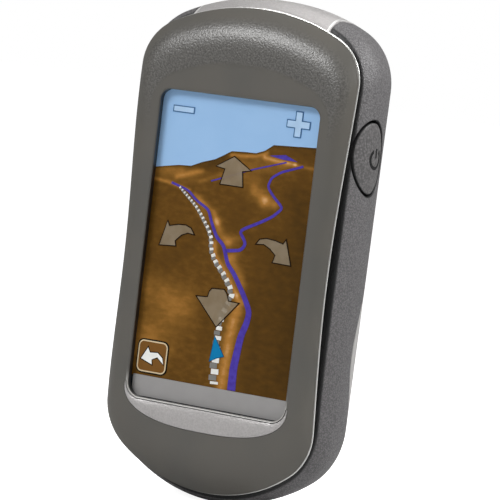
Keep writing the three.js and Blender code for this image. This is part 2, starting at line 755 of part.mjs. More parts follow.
function usbConnector() {
  const shell = middleBox(3.9, -7.5, -3.7, -54, -45);
  const mouth = middleBox(3.5, -7.1, -4.1, -55, -46);
  const tongue = middleBox(2.4, -6.1, -5.3, -53.2, -45.5);
  return shell.subtract(mouth).add(tongue);
}

function powerSwitch() {
  const front = BOARD_REAR + 0.05;
  const socket = box(15.6, 18.9, front, front + 2.05, BUTTON_HEIGHT - 2.6, BUTTON_HEIGHT + 2.6);
  const bore = box(17.4, 20, SWITCH_DEPTH - 0.65, SWITCH_DEPTH + 0.65, BUTTON_HEIGHT - 1.3, BUTTON_HEIGHT + 1.3);
  return socket.subtract(bore);
}

const switchPlunger = box(
  18, 19.55, SWITCH_DEPTH - 0.5, SWITCH_DEPTH + 0.5, BUTTON_HEIGHT - 1.15, BUTTON_HEIGHT + 1.15,
);

function cardSocket() {
  const front = BOARD_REAR + 0.05;
  const shell = middleBox(6.3, front, front + 1.5, -25.7, -13.3);
  return shell.subtract(middleBox(5.6, front + 0.4, front + 1.2, -24.8, 0));
}

const chipFront = BOARD_REAR + 0.05;
const beeper = cylinderAlongY(4.5, chipFront, chipFront + 1.8, -8, 38, 24);
const soundHole = cylinderAlongY(0.8, chipFront + 1, FAR, -8, 38, 12);

add('main_board', mainBoard(), 0x1e5a34, 0.5);
add('gps_antenna', middleBox(6.5, -12.1, BOARD_FRONT - 0.05, 39.6, 48.6), 0xc9b48a, 0.6);
add('rf_shield', rfShield(), 0xbfc0c0, 0.3, 1);
add('gps_receiver_chip', box(-7, 0, chipFront, chipFront + 1, 13, 20), 0x1b1b1d, 0.5);
add('processor', box(-8, 6, chipFront, chipFront + 1.2, -8, 5), 0x1b1b1d, 0.5);
add('memory_chip', box(8.5, 17.5, chipFront, chipFront + 1, -6, 6), 0x1b1b1d, 0.5);
add('beeper', beeper.subtract(soundHole), 0x232323, 0.6);
add('card_socket', cardSocket(), 0xc4c4c4, 0.3, 1);
add('usb_connector', usbConnector(), 0xc8c8c8, 0.25, 1);
add('power_switch', powerSwitch(), 0x2a2a2a, 0.5);
add('switch_plunger', switchPlunger, 0xd8d2c4, 0.5);

// ---------------------------------------------------------------- screws

// A pan-head screw along Y: its head is at the back and its shank points forward.
function screw(headRadius, headHeight, shankRadius, shankLength) {
  const profile = [
    [0, -shankLength],
    [shankRadius * 0.6, -shankLength],
    [shankRadius, -shankLength + 0.5],
    [shankRadius, 0],
    [headRadius, 0],
    [headRadius, headHeight * 0.5],
    [headRadius * 0.75, headHeight],
    [headRadius * 0.45, headHeight],
    [headRadius * 0.35, headHeight * 0.5],
    [0, headHeight * 0.5],
  ].map(([r, h]) => new THREE.Vector2(r, h));
  return solid(new THREE.LatheGeometry(profile, 12));
}

caseScrewPlaces.forEach(([x, z], i) => {
  const shape = screw(1.9, 1.4, 0.9, 6.2).translate([x, BAY_FLOOR + 0.05, z]);
  add(`case_screw_${i + 1}`, shape, 0xb8b8b8, 0.3, 1);
});

boardScrewPlaces.forEach(([x, z], i) => {
  const shape = screw(1.7, 1.1, 0.75, 4.2).translate([x, BOARD_REAR + 0.05, z]);
  add(`board_screw_${i + 1}`, shape, 0xb8b8b8, 0.3, 1);
});

export default device;
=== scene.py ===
# Looks of a handheld GPS unit, laid over its CAD frame.
# Shapes are worked out in millimetres, with heights measured from the middle of the case,
# and turned into metres in the CAD's frame when a mesh is made.

from math import atan2, cos, pi, radians, sin, sqrt

import bmesh
import bpy
import numpy as np
from mathutils import Matrix, Quaternion, Vector


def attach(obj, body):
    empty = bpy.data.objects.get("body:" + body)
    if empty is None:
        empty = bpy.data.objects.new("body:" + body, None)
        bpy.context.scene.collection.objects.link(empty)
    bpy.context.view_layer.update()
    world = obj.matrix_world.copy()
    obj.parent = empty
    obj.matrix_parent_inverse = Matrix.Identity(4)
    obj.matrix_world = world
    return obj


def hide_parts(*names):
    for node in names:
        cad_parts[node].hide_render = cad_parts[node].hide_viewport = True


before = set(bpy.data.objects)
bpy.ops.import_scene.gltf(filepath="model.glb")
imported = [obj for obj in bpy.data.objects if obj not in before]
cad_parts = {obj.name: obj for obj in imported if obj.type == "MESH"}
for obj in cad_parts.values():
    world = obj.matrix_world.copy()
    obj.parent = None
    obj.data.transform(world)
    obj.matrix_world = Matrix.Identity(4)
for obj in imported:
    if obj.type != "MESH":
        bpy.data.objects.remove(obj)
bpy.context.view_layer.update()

# ---- dimensions

HALF_HEIGHT = 57.0
WIDTH_TAPER = 0.0004
WIDEST_HEIGHT = 39.73  # where the straight, tapered sides end
CASE_HALF_WIDTH = 29 / (1 + WIDTH_TAPER * WIDEST_HEIGHT)
CASE_ARCS = (48, 37, 14, 16)  # radii of the top end, bottom end, top corners and bottom corners
WIDEST_DEPTH = -6.5
BACK_REACH = 21.5
FRONT_REACH = 18.2
BACK_ROUNDNESS = 2.2
END_ROUNDNESS = 4
END_FRONT_SHRINK = 0.033
BAND_FRONT = -14.15
BAND_EDGE = -13.4  # the rubber starts behind a dark groove
TOP_CAP_FRONT = -14.8
TOP_CAP_HEIGHT = 52  # the top cap takes the sides' taper at this height
LAST_BACK_LEVEL = 0.985  # the back is flat beyond this share of its reach

BEZEL_HALF_HEIGHT = 54.35
BEZEL_HALF_WIDTH = 26.4
BEZEL_ARCS = (45.6, 34.5, 11.2, 13.2)
BEZEL_TAPER = 0.00038
TOP_FALL = 2.6  # how far the front falls back at its top end
BOTTOM_FALL = 3.5
WAIST = 1.1  # how far the bezel's sides are drawn in
WAIST_MIDDLE = -2.0
WAIST_REACH = 42.6
CREASE_SCALE = (0.83, 0.765)  # where the shoulder starts, as a share of the bezel's outline
# The slope of the shoulder above the window, in degrees, at shares of its width.
SHOULDER_SHARES = (0, 0.1, 0.3, 0.42, 0.58, 0.72, 0.85, 1)
SHOULDER_SLOPES = (-7, -4, 0, 6, 20, 34, 42, 48)
RIM_FRONT = -17.5
BEZEL_EDGE = -16.1
BEZEL_REAR = -15.6
BEZEL_INSIDE = -15.9  # the bezel's rear face round the window
HOUSING_INSET = 1.95
HOUSING_FRONT = -14.7
FLOOR_FRONT = -4.4  # the floor of the battery bay
FLOOR_REAR = -3.2

SKIN = 1.8
SEAM_DEPTH = 1.94
SEAM_BOW = 5.3  # how far the seam bows forward
SEAM_BOW_MIDDLE = -19.5
SEAM_BOW_REACH = 20.0
SEAM_GAP = 0.3
DOOR_TOP = 39.9
FIXED_BACK_BOTTOM = 40.4

WINDOW_HALF_WIDTH = 19.9
WINDOW_TOP = 34.5
WINDOW_BOTTOM = -35.1
SCREEN = -15.3  # the front of the touch panel
STRIP_TOP = -30.3
CRESCENT_HALF_WIDTH = 20.6
CRESCENT_TOP = -32.0
CRESCENT_DROP = 8.45
CRESCENT_POWER = 2 / 2.5  # squarer than an ellipse

BUTTON_DEPTH = -7.2
BUTTON_HEIGHT = 24.7
BUTTON_SEMI_DEPTH = 5.5
BUTTON_SEMI_HEIGHT = 8.0
BUTTON_TILT = radians(9)
BUTTON_CLEARANCE = 0.5
BUTTON_CROWN = 0.4

HOOK_X = 10.5  # the middle of each of the door's two hooks
HOOK_HALF_WIDTH = 2.5
LATCH_PIN_DEPTH = 9.9
LATCH_PIN_HEIGHT = -46.0
CELL_LENGTH = 50.5
CELL_RADIUS = 7.1
CELL_X = 7.6
BAY_TOP = 23.5
BAY_BOTTOM = -34.5
FAR = 80.0

# Points along each fifth of half an outline: end arc, corner, side, corner, end arc.
OUTLINE_STEPS = (26, 30, 60, 30, 26)

# ---- meshes


def add_to_scene(name, data):
    obj = bpy.data.objects.new(name, data)
    bpy.context.scene.collection.objects.link(obj)
    return obj


def make_object(name, corners, faces):
    """A mesh object from corners in millimetres."""
    corners = np.array(corners, float)
    corners[:, 2] += HALF_HEIGHT
    mesh = bpy.data.meshes.new(name)
    mesh.from_pydata((corners * 0.001).tolist(), [], faces)
    mesh.update()
    return add_to_scene(name, mesh)


def object_from_bmesh(name, mesh):
    """A new object from a bmesh, which is freed."""
    data = bpy.data.meshes.new(name)
    mesh.to_mesh(data)
    mesh.free()
    return add_to_scene(name, data)


def volume(corners, quads):
    """Six times the volume inside a closed mesh of quads, negative when it is inside out."""
    a, b, c, d = (corners[quads[:, i]] for i in range(4))
    return np.sum(a * (np.cross(b, c) + np.cross(c, d)))


def ring_solid(name, rings, closed=False):
    """A solid through rings of corners. Its ends are fans, unless the last ring meets the first."""
    count = len(rings[0])
    corners = np.vstack(rings)
    index = np.arange(len(corners)).reshape(-1, count)
    if closed:
        index = np.vstack([index, index[:1]])
    turned = np.roll(index, -1, axis=1)
    quads = np.stack([index[:-1], turned[:-1], turned[1:], index[1:]], axis=-1).reshape(-1, 4)
    fans = np.zeros((0, 3), int)
    if not closed:
        centre = np.full(count, len(corners))
        corners = np.vstack([corners, rings[0].mean(axis=0), rings[-1].mean(axis=0)])
        fans = np.vstack([
            np.column_stack([centre, turned[0], index[0]]),
            np.column_stack([centre + 1, index[-1], turned[-1]]),
        ])
    whole = np.vstack([quads, np.column_stack([fans, fans[:, :1]])])
    if volume(corners - corners.mean(axis=0), whole) < 0:
        quads, fans = quads[:, ::-1], fans[:, ::-1]
    return make_object(name, corners, quads.tolist() + fans.tolist())


def sheet(name, front, thickness):
    """A thin solid whose front is a grid of corners and whose back lies behind it along Y."""
    rows, columns = front.shape[:2]
    back = front + (0, thickness, 0)
    corners = np.vstack([front.reshape(-1, 3), back.reshape(-1, 3)])
    index = np.arange(rows * columns).reshape(rows, columns)
    quads = np.stack([index[:-1, :-1], index[:-1, 1:], index[1:, 1:], index[1:, :-1]], axis=-1)
    quads = quads.reshape(-1, 4)
    rim = np.concatenate([index[0], index[1:, -1], index[-1, -2::-1], index[-2:0:-1, 0]])
    after = np.roll(rim, -1)
    wall = np.column_stack([after, rim, rim + rows * columns, after + rows * columns])
    faces = np.vstack([quads, quads[:, ::-1] + rows * columns, wall])
    obj = make_object(name, corners, faces.tolist())
    face_outward(obj)
    return obj


def prism(name, outline, axis, start, end):
    """A closed outline of two coordinates, pushed along the third axis."""
    outline = np.array(outline, float)
    count = len(outline)
    corners = np.vstack([np.insert(outline, axis, level, axis=1) for level in (start, end)])
    faces = [(i, (i + 1) % count, count + (i + 1) % count, count + i) for i in range(count)]
    faces.append(tuple(range(count - 1, -1, -1)))
    faces.append(tuple(range(count, 2 * count)))
    obj = make_object(name, corners, faces)
    face_outward(obj)
    return obj


def face_outward(obj):
    mesh = bmesh.new()
    mesh.from_mesh(obj.data)
    bmesh.ops.recalc_face_normals(mesh, faces=mesh.faces)
    mesh.to_mesh(obj.data)
    mesh.free()


def block(name, x0, x1, y0, y1, z0, z1, radius=0.0):
    """A box, with its edges rounded when a radius is given."""
    mesh = bmesh.new()
    bmesh.ops.create_cube(mesh, size=1)
    centre = Vector(((x0 + x1) / 2, (y0 + y1) / 2, (z0 + z1) / 2 + HALF_HEIGHT)) * 0.001
    size = Vector((x1 - x0, y1 - y0, z1 - z0)) * 0.001
    place = Matrix.Translation(centre) @ Matrix.Diagonal((*size, 1))
    bmesh.ops.transform(mesh, matrix=place, verts=mesh.verts)
    if radius:
        edges = mesh.edges[:] + mesh.verts[:]
        bmesh.ops.bevel(mesh, geom=edges, offset=radius * 0.001, segments=4, profile=0.5, affect="EDGES")
    return object_from_bmesh(name, mesh)


def middle_block(name, half_width, y0, y1, z0, z1, radius=0.0):
    return block(name, -half_width, half_width, y0, y1, z0, z1, radius)


def circle(radius, centre_a, centre_b, sides):
    angles = np.linspace(0, 2 * pi, sides, endpoint=False)
    return np.column_stack([centre_a + radius * np.cos(angles), centre_b + radius * np.sin(angles)])


def rod_x(name, radius, x0, x1, y, z):
    return prism(name, circle(radius, y, z, 48), 0, x0, x1)


def rod_y(name, radius, y0, y1, x, z):
    return prism(name, circle(radius, x, z, 40), 1, y0, y1)


def boolean(target, tool, operation, solver="MANIFOLD"):
    step = target.modifiers.new("step", "BOOLEAN")
    step.operation = operation
    step.solver = solver
    step.object = tool
    bpy.context.view_layer.update()
    graph = bpy.context.evaluated_depsgraph_get()
    result = bpy.data.meshes.new_from_object(target.evaluated_get(graph))
    target.modifiers.clear()
    old = target.data
    target.data = result
    bpy.data.meshes.remove(old)
    bpy.data.objects.remove(tool)
    return target


def cut(target, *tools):
    for tool in tools:
        boolean(target, tool, "DIFFERENCE")
    return target


def add(target, *tools):
    for tool in tools:
        boolean(target, tool, "UNION")
    return target


def keep(target, *tools):
    for tool in tools:
        boolean(target, tool, "INTERSECT")
    return target


def rounding(radius, steps):
    """The steps of a rounded edge: how far each is past the first, and how far it is short of the last."""
    angles = np.linspace(0, pi / 2, steps)
    return [(radius * (1 - cos(angle)), radius * (1 - sin(angle))) for angle in angles]


def path_lengths(path):
    """The distance along a path to each of its points."""
    return np.concatenate([[0], np.cumsum(np.linalg.norm(np.diff(path, axis=0), axis=1))])


def resample(path, count):
    """Points evenly spaced along a path."""
    lengths = path_lengths(path)
    places = np.linspace(0, lengths[-1], count)
    return np.column_stack([np.interp(places, lengths, path[:, i]) for i in (0, 1)])


def sideways(path):
    """The direction across a path, at each of its points."""
    along = np.gradient(path, axis=0)
    along /= np.linalg.norm(along, axis=1)[:, None]
    return np.column_stack([-along[:, 1], along[:, 0]])


def shade(obj, sharp):
    """Smooth shading, with sharp edges where faces meet at more than an angle."""
    mesh = obj.data
    mesh.polygons.foreach_set("use_smooth", [True] * len(mesh.polygons))
    mesh.set_sharp_from_angle(angle=radians(sharp))


# ---- the case outline


def arc(x, z, radius, start, end, steps):
    """Points along an arc, up to but without its end."""
    angles = np.linspace(start, end, steps, endpoint=False)
    return np.column_stack([x + radius * np.cos(angles), z + radius * np.sin(angles)])


def mirrored(right, top):
    """A closed outline from its right half, which starts at the foot of the middle line."""
    return np.vstack([right, [[0, top]], right[:0:-1] * (-1, 1)])


def arched_outline(half_width, half_height, arcs):
    """An outline with arched ends, as corners in X and Z, from its lowest point anticlockwise."""
    top_arc, bottom_arc, top_corner, bottom_corner = arcs
    top_centre = half_height - top_arc
    bottom_centre = bottom_arc - half_height
    top_x = half_width - top_corner
    bottom_x = half_width - bottom_corner
    top_z = top_centre + sqrt((top_arc - top_corner) ** 2 - top_x ** 2)
    bottom_z = bottom_centre - sqrt((bottom_arc - bottom_corner) ** 2 - bottom_x ** 2)
    top_angle = atan2(top_z - top_centre, top_x)
    bottom_angle = atan2(bottom_z - bottom_centre, bottom_x)
    end_low, corner_low, side, corner_high, end_high = OUTLINE_STEPS
    heights = np.linspace(bottom_z, top_z, side, endpoint=False)
    right = np.vstack([
        arc(0, bottom_centre, bottom_arc, -pi / 2, bottom_angle, end_low),
        arc(bottom_x, bottom_z, bottom_corner, bottom_angle, 0, corner_low),
        np.column_stack([np.full(side, half_width), heights]),
        arc(top_x, top_z, top_corner, 0, top_angle, corner_high),
        arc(0, top_centre, top_arc, top_angle, pi / 2, end_high),
    ])
    return mirrored(right, half_height)


def case_outline(inset):
    arcs = [radius - inset for radius in CASE_ARCS]
    return arched_outline(CASE_HALF_WIDTH - inset, HALF_HEIGHT - inset, arcs)


def bezel_outline(offset):
    arcs = [radius + offset for radius in BEZEL_ARCS]
    return arched_outline(BEZEL_HALF_WIDTH + offset, BEZEL_HALF_HEIGHT + offset, arcs)


def end_fall(z):
    """How far the ends of the front fall back at this height."""
    return np.where(z > 0, TOP_FALL, BOTTOM_FALL) * (np.abs(z) / BEZEL_HALF_HEIGHT) ** 3


def bow(z, middle, reach):
    """A smooth bow, from 1 at its middle to 0 at its reach."""
    t = np.clip((z - middle) / reach, -1, 1)
    return np.cos(t * pi / 2) ** 2


def seam(z):
    """Depth of the seam between the band and the door at this height."""
    return SEAM_DEPTH - SEAM_BOW * bow(z, SEAM_BOW_MIDDLE, SEAM_BOW_REACH)


def front_share(depth):
    """How far forward a depth is, from 0 at the widest level to 1 at the front of the case."""
    return np.clip((WIDEST_DEPTH - depth) / (WIDEST_DEPTH - BAND_FRONT), 0, None)


def rounded_off(depth, inset, power):
    """How much the case shrinks towards its back."""
    back = np.clip((depth - WIDEST_DEPTH) / (BACK_REACH - inset), 0, 1)
    return (1 - back ** power) ** (1 / power)


def end_scale(depth, inset):
    """How much the case's length shrinks at a depth."""
    return rounded_off(depth, inset, END_ROUNDNESS) * (1 - END_FRONT_SHRINK * front_share(depth) ** 2)


def side_scale(depth, inset):
    """How much the case's width shrinks at a depth."""
    front = np.clip((WIDEST_DEPTH - depth) / FRONT_REACH, 0, None)
    return rounded_off(depth, inset, BACK_ROUNDNESS) * np.sqrt(1 - front ** 2)


def case_ring(inset, depth):
    """A ring of corners around the case, drawn in by an inset, at one depth or one for each corner."""
    outline = case_outline(inset)
    depth = np.broadcast_to(np.asarray(depth, float), len(outline))
    z = outline[:, 1] * end_scale(depth, inset)
    x = outline[:, 0] * side_scale(depth, inset) * (1 + WIDTH_TAPER * z)
    return np.column_stack([x, depth + front_share(depth) * end_fall(z), z])


def toward_middle(ring, scales):
    """Smaller copies of a ring, to build an end face from its rim in."""
    return [ring * (scale, 1, scale) for scale in scales]


END_SCALES = (0.9, 0.75, 0.6, 0.45, 0.3, 0.15, 0.03)


def back_depths(inset):
    """Depths from the widest level to the flat of the back, closer together towards the flat."""
    last = WIDEST_DEPTH + LAST_BACK_LEVEL * (BACK_REACH - inset)
    return WIDEST_DEPTH + (last - WIDEST_DEPTH) * np.sin(np.linspace(0, pi / 2, 26))


def case_solid(name, inset, front=BAND_FRONT):
    """The whole case, drawn in by an inset, from a depth at the front to its rounded back."""
    front_rings = [case_ring(inset, d) for d in np.linspace(front, WIDEST_DEPTH, 12, endpoint=False)]
    back_rings = [case_ring(inset, d) for d in back_depths(inset)]
    start = toward_middle(front_rings[0], END_SCALES)[::-1]
    end = toward_middle(back_rings[-1], END_SCALES)
    return ring_solid(name, [*start, *front_rings, *back_rings, *end])


def shell_part(name, outer, inner, region):
    """What lies between two insets of the case, within a region."""
    return keep(cut(case_solid(name, outer), case_solid("inside", inner)), region)


def seam_depths(inset, gap):
    """The seam's depth at each corner of the case's outline."""
    heights = case_outline(inset)[:, 1]
    depth = seam(heights)
    for _ in range(12):
        depth = seam(heights * end_scale(depth + gap, inset))
    return depth + gap


def side_x(y, z, inset):
    """How far the right side of the case is from its middle plane."""
    depth = y - front_share(y) * end_fall(z)
    return (CASE_HALF_WIDTH - inset) * side_scale(depth, inset) * (1 + WIDTH_TAPER * z)


def top_z(x, y, inset):
    """How high the top end of the case is at a place."""
    depth = y - front_share(y) * TOP_FALL
    wide = x / (side_scale(depth, inset) * (1 + WIDTH_TAPER * TOP_CAP_HEIGHT))
    radius = CASE_ARCS[0]
    reach = np.sqrt((radius - inset) ** 2 - wide ** 2)
    return (HALF_HEIGHT - radius + reach) * end_scale(depth, inset)


# ---- materials


def srgb(r, g, b):
    """A colour written as it looks, as linear light."""
    values = np.array([r, g, b]) / 255
    return tuple(np.where(values > 0.04045, ((values + 0.055) / 1.055) ** 2.4, values / 12.92)) + (1.0,)


def scaled(colour, factor):
    return tuple(min(1.0, c * factor) for c in colour[:3]) + (1.0,)


class Nodes:
    """A small builder for a material's nodes."""

    def __init__(self, name):
        self.material = bpy.data.materials.new(name)
        self.material.use_nodes = True
        self.tree = self.material.node_tree
        self.surface = self.tree.nodes["Principled BSDF"]
        self.place = self.tree.nodes.new("ShaderNodeTexCoord").outputs["Object"]

    def feed(self, node, **inputs):
        """Gives inputs of a node a value, or a link when the value is another node's output."""
        for key, value in inputs.items():
            self.plug(node.inputs[key.replace("_", " ")], value)
        return node

    def plug(self, socket, value):
        if isinstance(value, bpy.types.NodeSocket):
            self.tree.links.new(value, socket)
        else:
            socket.default_value = value

    def node(self, kind, **inputs):
        return self.feed(self.tree.nodes.new("ShaderNode" + kind), **inputs)

    def set(self, **inputs):
        """Feeds the material's surface."""
        self.feed(self.surface, **inputs)

    def noise(self, size, detail=2.0, stretch=(1, 1, 1)):
        """Noise with features of about this size in millimetres."""
        place = self.place
        if stretch != (1, 1, 1):
            place = self.node("Mapping", Vector=place, Scale=stretch).outputs["Vector"]
        return self.node("TexNoise", Vector=place, Scale=1000 / size, Detail=detail).outputs["Fac"]

    def cells(self, size):
        return self.node("TexVoronoi", Vector=self.place, Scale=1000 / size).outputs["Distance"]

    def math(self, operation, a, b=0.0):
        made = self.node("Math")
        made.operation = operation
        self.plug(made.inputs[0], a)
        self.plug(made.inputs[1], b)
        return made.outputs[0]

    def spread(self, value, low, high, to_low=0.0, to_high=1.0):
        """A value's share of the way from low to high, spread over another range."""
        made = self.node("MapRange", Value=value, From_Min=low, From_Max=high, To_Min=to_low, To_Max=to_high)
        return made.outputs["Result"]

    def mix(self, share, a, b):
        made = self.node("Mix")
        made.data_type = "RGBA"
        # A colour mix keeps its share in socket 0 and its colours in sockets 6 and 7.
        for socket, value in ((0, share), (6, a), (7, b)):
            self.plug(made.inputs[socket], value)
        return made.outputs[2]

    def attribute(self, name):
        made = self.node("Attribute")
        made.attribute_name = name
        return made.outputs["Fac"]

    def bump(self, height, depth):
        """Relief of a depth in millimetres."""
        made = self.node("Bump", Height=height, Strength=1.0, Distance=depth * 0.001)
        self.set(Normal=made.outputs["Normal"])


def plain(name, colour, roughness, metallic=0.0, grain=0.3, depth=0.01, variation=0.06, coat=0.0,
          speckle=0.0):
    """A moulded or painted finish: one colour with a little variation and a fine grain."""
    nodes = Nodes(name)
    shown = nodes.mix(nodes.noise(4.0), scaled(colour, 1 - variation), scaled(colour, 1 + variation))
    if speckle:
        flecks = nodes.spread(nodes.noise(grain, 2.0), 0.35, 0.65, 0.0, speckle)
        shown = nodes.mix(flecks, shown, scaled(colour, 1.35))
    shine = nodes.spread(nodes.noise(grain), 0.3, 0.7, roughness * 0.93, roughness * 1.07)
    nodes.set(Base_Color=shown, Roughness=shine, Metallic=metallic, Coat_Weight=coat, Coat_Roughness=0.1)
    if depth:
        nodes.bump(nodes.noise(grain), depth)
    return nodes.material


def brushed(name, colour, roughness, stretch=(1, 1, 12)):
    """Metal with a drawn or rolled grain."""
    nodes = Nodes(name)
    streaks = nodes.noise(1.2, 3.0, stretch)
    shine = nodes.spread(streaks, 0.3, 0.7, roughness * 0.75, roughness * 1.3)
    nodes.set(Base_Color=colour, Metallic=1.0, Roughness=shine)
    nodes.bump(streaks, 0.004)
    return nodes.material


def rubber(name, colour, cell=0.4, depth=0.07, roughness=0.48):
    """Soft rubber with a pebbled, leathery grain, and painted shade, near black, where the mesh's crevice
    shade value is high.
    """
    nodes = Nodes(name)
    pebbles = nodes.math("ADD", nodes.cells(cell), nodes.math("MULTIPLY", nodes.noise(cell * 0.8, 3.0), 1.2))
    skin = nodes.mix(nodes.spread(pebbles, 0.55, 1.3), scaled(colour, 1.3), scaled(colour, 0.62))
    # Painted shade: the crevice shade value mixes the rubber towards near black.
    nodes.set(
        Base_Color=nodes.mix(nodes.attribute("crevice_shade"), skin, srgb(16, 16, 17)),
        Roughness=nodes.spread(pebbles, 0.5, 1.4, roughness * 0.9, roughness * 1.2),
    )
    nodes.bump(pebbles, -depth)
    return nodes.material


def bezel_finish():
    """Satin plastic, with a fine moulded texture where the mesh's grain value is high.

    The mesh's lip value paints a highlight on the window's lower lip, and its wall value paints shade on the
    window's wall.
    """
    nodes = Nodes("bezel satin")
    grain = nodes.attribute("grain")
    broad = nodes.spread(nodes.noise(14.0, 1.0), 0.4, 0.6)
    flat = nodes.mix(broad, srgb(91, 89, 84), srgb(95, 92, 86))
    fine = nodes.spread(nodes.noise(0.42, 2.0), 0.38, 0.62)
    speckle = nodes.mix(fine, srgb(80, 78, 75), srgb(104, 102, 98))
    colour = nodes.mix(grain, flat, speckle)
    # Painted highlight on the window's lower lip.
    colour = nodes.mix(nodes.attribute("lip"), colour, srgb(196, 194, 190))
    # Painted shade on the window's wall.
    colour = nodes.mix(nodes.attribute("wall"), colour, srgb(26, 26, 27))
    nodes.set(Base_Color=colour, Roughness=0.36)
    relief = nodes.math("MULTIPLY", grain, nodes.noise(0.42, 2.5))
    satin = nodes.math("MULTIPLY", nodes.noise(0.25), 0.05)
    nodes.bump(nodes.math("ADD", relief, satin), 0.1)
    return nodes.material


def board_finish():
    """Green solder mask over copper tracks."""
    nodes = Nodes("circuit board")
    bricks = nodes.node("TexBrick", Vector=nodes.place, Scale=420.0, Mortar_Size=0.012)
    tracks = bricks.outputs["Fac"]
    nodes.set(
        Base_Color=nodes.mix(tracks, srgb(26, 92, 52), srgb(52, 128, 76)),
        Roughness=nodes.spread(nodes.noise(2.0), 0.3, 0.7, 0.32, 0.42),
    )
    nodes.bump(tracks, 0.02)
    return nodes.material


def cell_finish():
    """A wrapped battery: a dark sleeve with a lighter band near the button end."""
    nodes = Nodes("cell wrapper")
    nodes.set(
        Base_Color=nodes.mix(nodes.attribute("band"), srgb(38, 46, 58), srgb(190, 160, 92)),
        Roughness=nodes.spread(nodes.noise(3.0), 0.3, 0.7, 0.28, 0.36),
        Metallic=0.35,
    )
    return nodes.material


BEZEL = bezel_finish()
SILVER = plain("silver paint", srgb(172, 169, 168), 0.42, 0.3, grain=0.4, depth=0.07, speckle=0.5)
STRIP = plain("silver strip", srgb(160, 158, 157), 0.4, 0.3, grain=0.4, depth=0.03)
# A lighter silver for the top cap's end borders: a painted highlight along the cap's ends.
SILVER_EDGE_HIGHLIGHT = plain("silver edge highlight", srgb(225, 224, 222), 0.32, 0.35, grain=0.4, depth=0.004)
SILVER_DOOR = plain("silver door paint", srgb(196, 194, 192), 0.42, 0.35, grain=0.4, depth=0.04)
# Near white and only partly metallic, so that the trim shows as a painted highlight line along the bezel's
# rear edge.
TRIM_SILVER_AND_HIGHLIGHT = plain("bright trim", srgb(238, 238, 235), 0.25, 0.4, grain=0.5, depth=0.002, variation=0.02)
BAND = rubber("band rubber", srgb(108, 106, 107))
BUTTON_RUBBER = rubber("button rubber", srgb(102, 100, 100), cell=0.6, depth=0.06, roughness=0.45)
CAP_RUBBER = rubber("cap rubber", srgb(98, 96, 98), depth=0.06)
SEAL = plain("seal rubber", srgb(34, 34, 35), 0.75)
BLACK = plain("black plastic", srgb(30, 30, 31), 0.55, depth=0.015)
HOUSING = plain("housing plastic", srgb(52, 52, 54), 0.55, grain=0.4, depth=0.03)
SYMBOL = plain("printed black", srgb(6, 6, 7), 0.9, depth=0.0)
STEEL = brushed("sheet steel", srgb(190, 190, 188), 0.32)
CONTACT = brushed("contact steel", srgb(205, 203, 196), 0.28)
PIN = brushed("ground steel", srgb(200, 200, 200), 0.25, stretch=(8, 1, 1))
CHIP = plain("chip plastic", srgb(30, 30, 32), 0.5, depth=0.008)
PLUNGER = plain("plunger plastic", srgb(220, 214, 200), 0.45)
CERAMIC = plain("fired ceramic", srgb(203, 182, 140), 0.6, grain=0.2, depth=0.02)
FILM = plain("amber film", srgb(182, 118, 42), 0.35, grain=1.0, depth=0.004, coat=0.4)
GLASS = plain("touch glass", srgb(40, 52, 60), 0.12, grain=2.0, depth=0.0, coat=0.6)
LCD = plain("screen glass", srgb(24, 30, 36), 0.14, grain=2.0, depth=0.0, coat=0.5)
LIGHT_GUIDE = plain("light guide", srgb(238, 240, 240), 0.3, grain=1.0, depth=0.003)
BOARD = board_finish()
CELL = cell_finish()

# ---- giving pieces to bodies


def finish_piece(obj, material, body, replaced=None, sharp=32):
    """Gives a piece its material and body, and lets it stand in for a CAD node if one is named."""
    obj.data.materials.clear()
    obj.data.materials.append(material)
    shade(obj, sharp)
    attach(obj, body)
    if replaced:
        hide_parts(replaced)


def set_attribute(obj, name, values):
    layer = obj.data.attributes.new(name, "FLOAT", "POINT")
    layer.data.foreach_set("value", np.asarray(values, float))


# ---- front bezel


def window_ring(margin, depth):
    """The window's edge, grown by a margin, with as many corners as the bezel's outline."""
    half = WINDOW_HALF_WIDTH + margin
    top = WINDOW_TOP + margin
    bottom = WINDOW_BOTTOM - margin
    low_radius = max(3.3 + margin, 0.2)
    high_radius = max(2.5 + margin, 0.2)
    end_low, corner_low, side, corner_high, end_high = OUTLINE_STEPS
    low = np.linspace(0, half - low_radius, end_low, endpoint=False)
    high = np.linspace(half - high_radius, 0, end_high, endpoint=False)
    heights = np.linspace(bottom + low_radius, top - high_radius, side, endpoint=False)
    right = np.vstack([
        np.column_stack([low, np.full(end_low, bottom)]),
        arc(half - low_radius, bottom + low_radius, low_radius, -pi / 2, 0, corner_low),
        np.column_stack([np.full(side, half), heights]),
        arc(half - high_radius, top - high_radius, high_radius, 0, pi / 2, corner_high),
        np.column_stack([high, np.full(end_high, top)]),
    ])
    return np.insert(mirrored(right, top), 1, depth, axis=1)


def place_on_front(outline, depth, fall=1.0):
    """Puts an outline of the bezel in place: waisted in X, and bent back towards the ends."""
    x, z = outline[:, 0], outline[:, 1]
    waist = WAIST * bow(z, WAIST_MIDDLE, WAIST_REACH)
    wide = x * (1 + BEZEL_TAPER * z - waist / BEZEL_HALF_WIDTH)
    return np.column_stack([wide, depth + fall * end_fall(z), z])


def shoulder_profile(steps):
    """How far the shoulder has fallen back, from 0 at its crease to 1 at the edge, above the window."""
    share = np.linspace(0, 1, 400)
    slope = np.tan(np.radians(np.interp(share, SHOULDER_SHARES, SHOULDER_SLOPES)))
    fallen = np.concatenate([[0], np.cumsum((slope[1:] + slope[:-1]) / 2)])
    return np.interp(steps, share, fallen / fallen[-1])


def smooth_step(value, low, high):
    """From 0 at low to 1 at high, with level ends."""
    t = np.clip((value - low) / (high - low), 0, 1)
    return t * t * (3 - 2 * t)


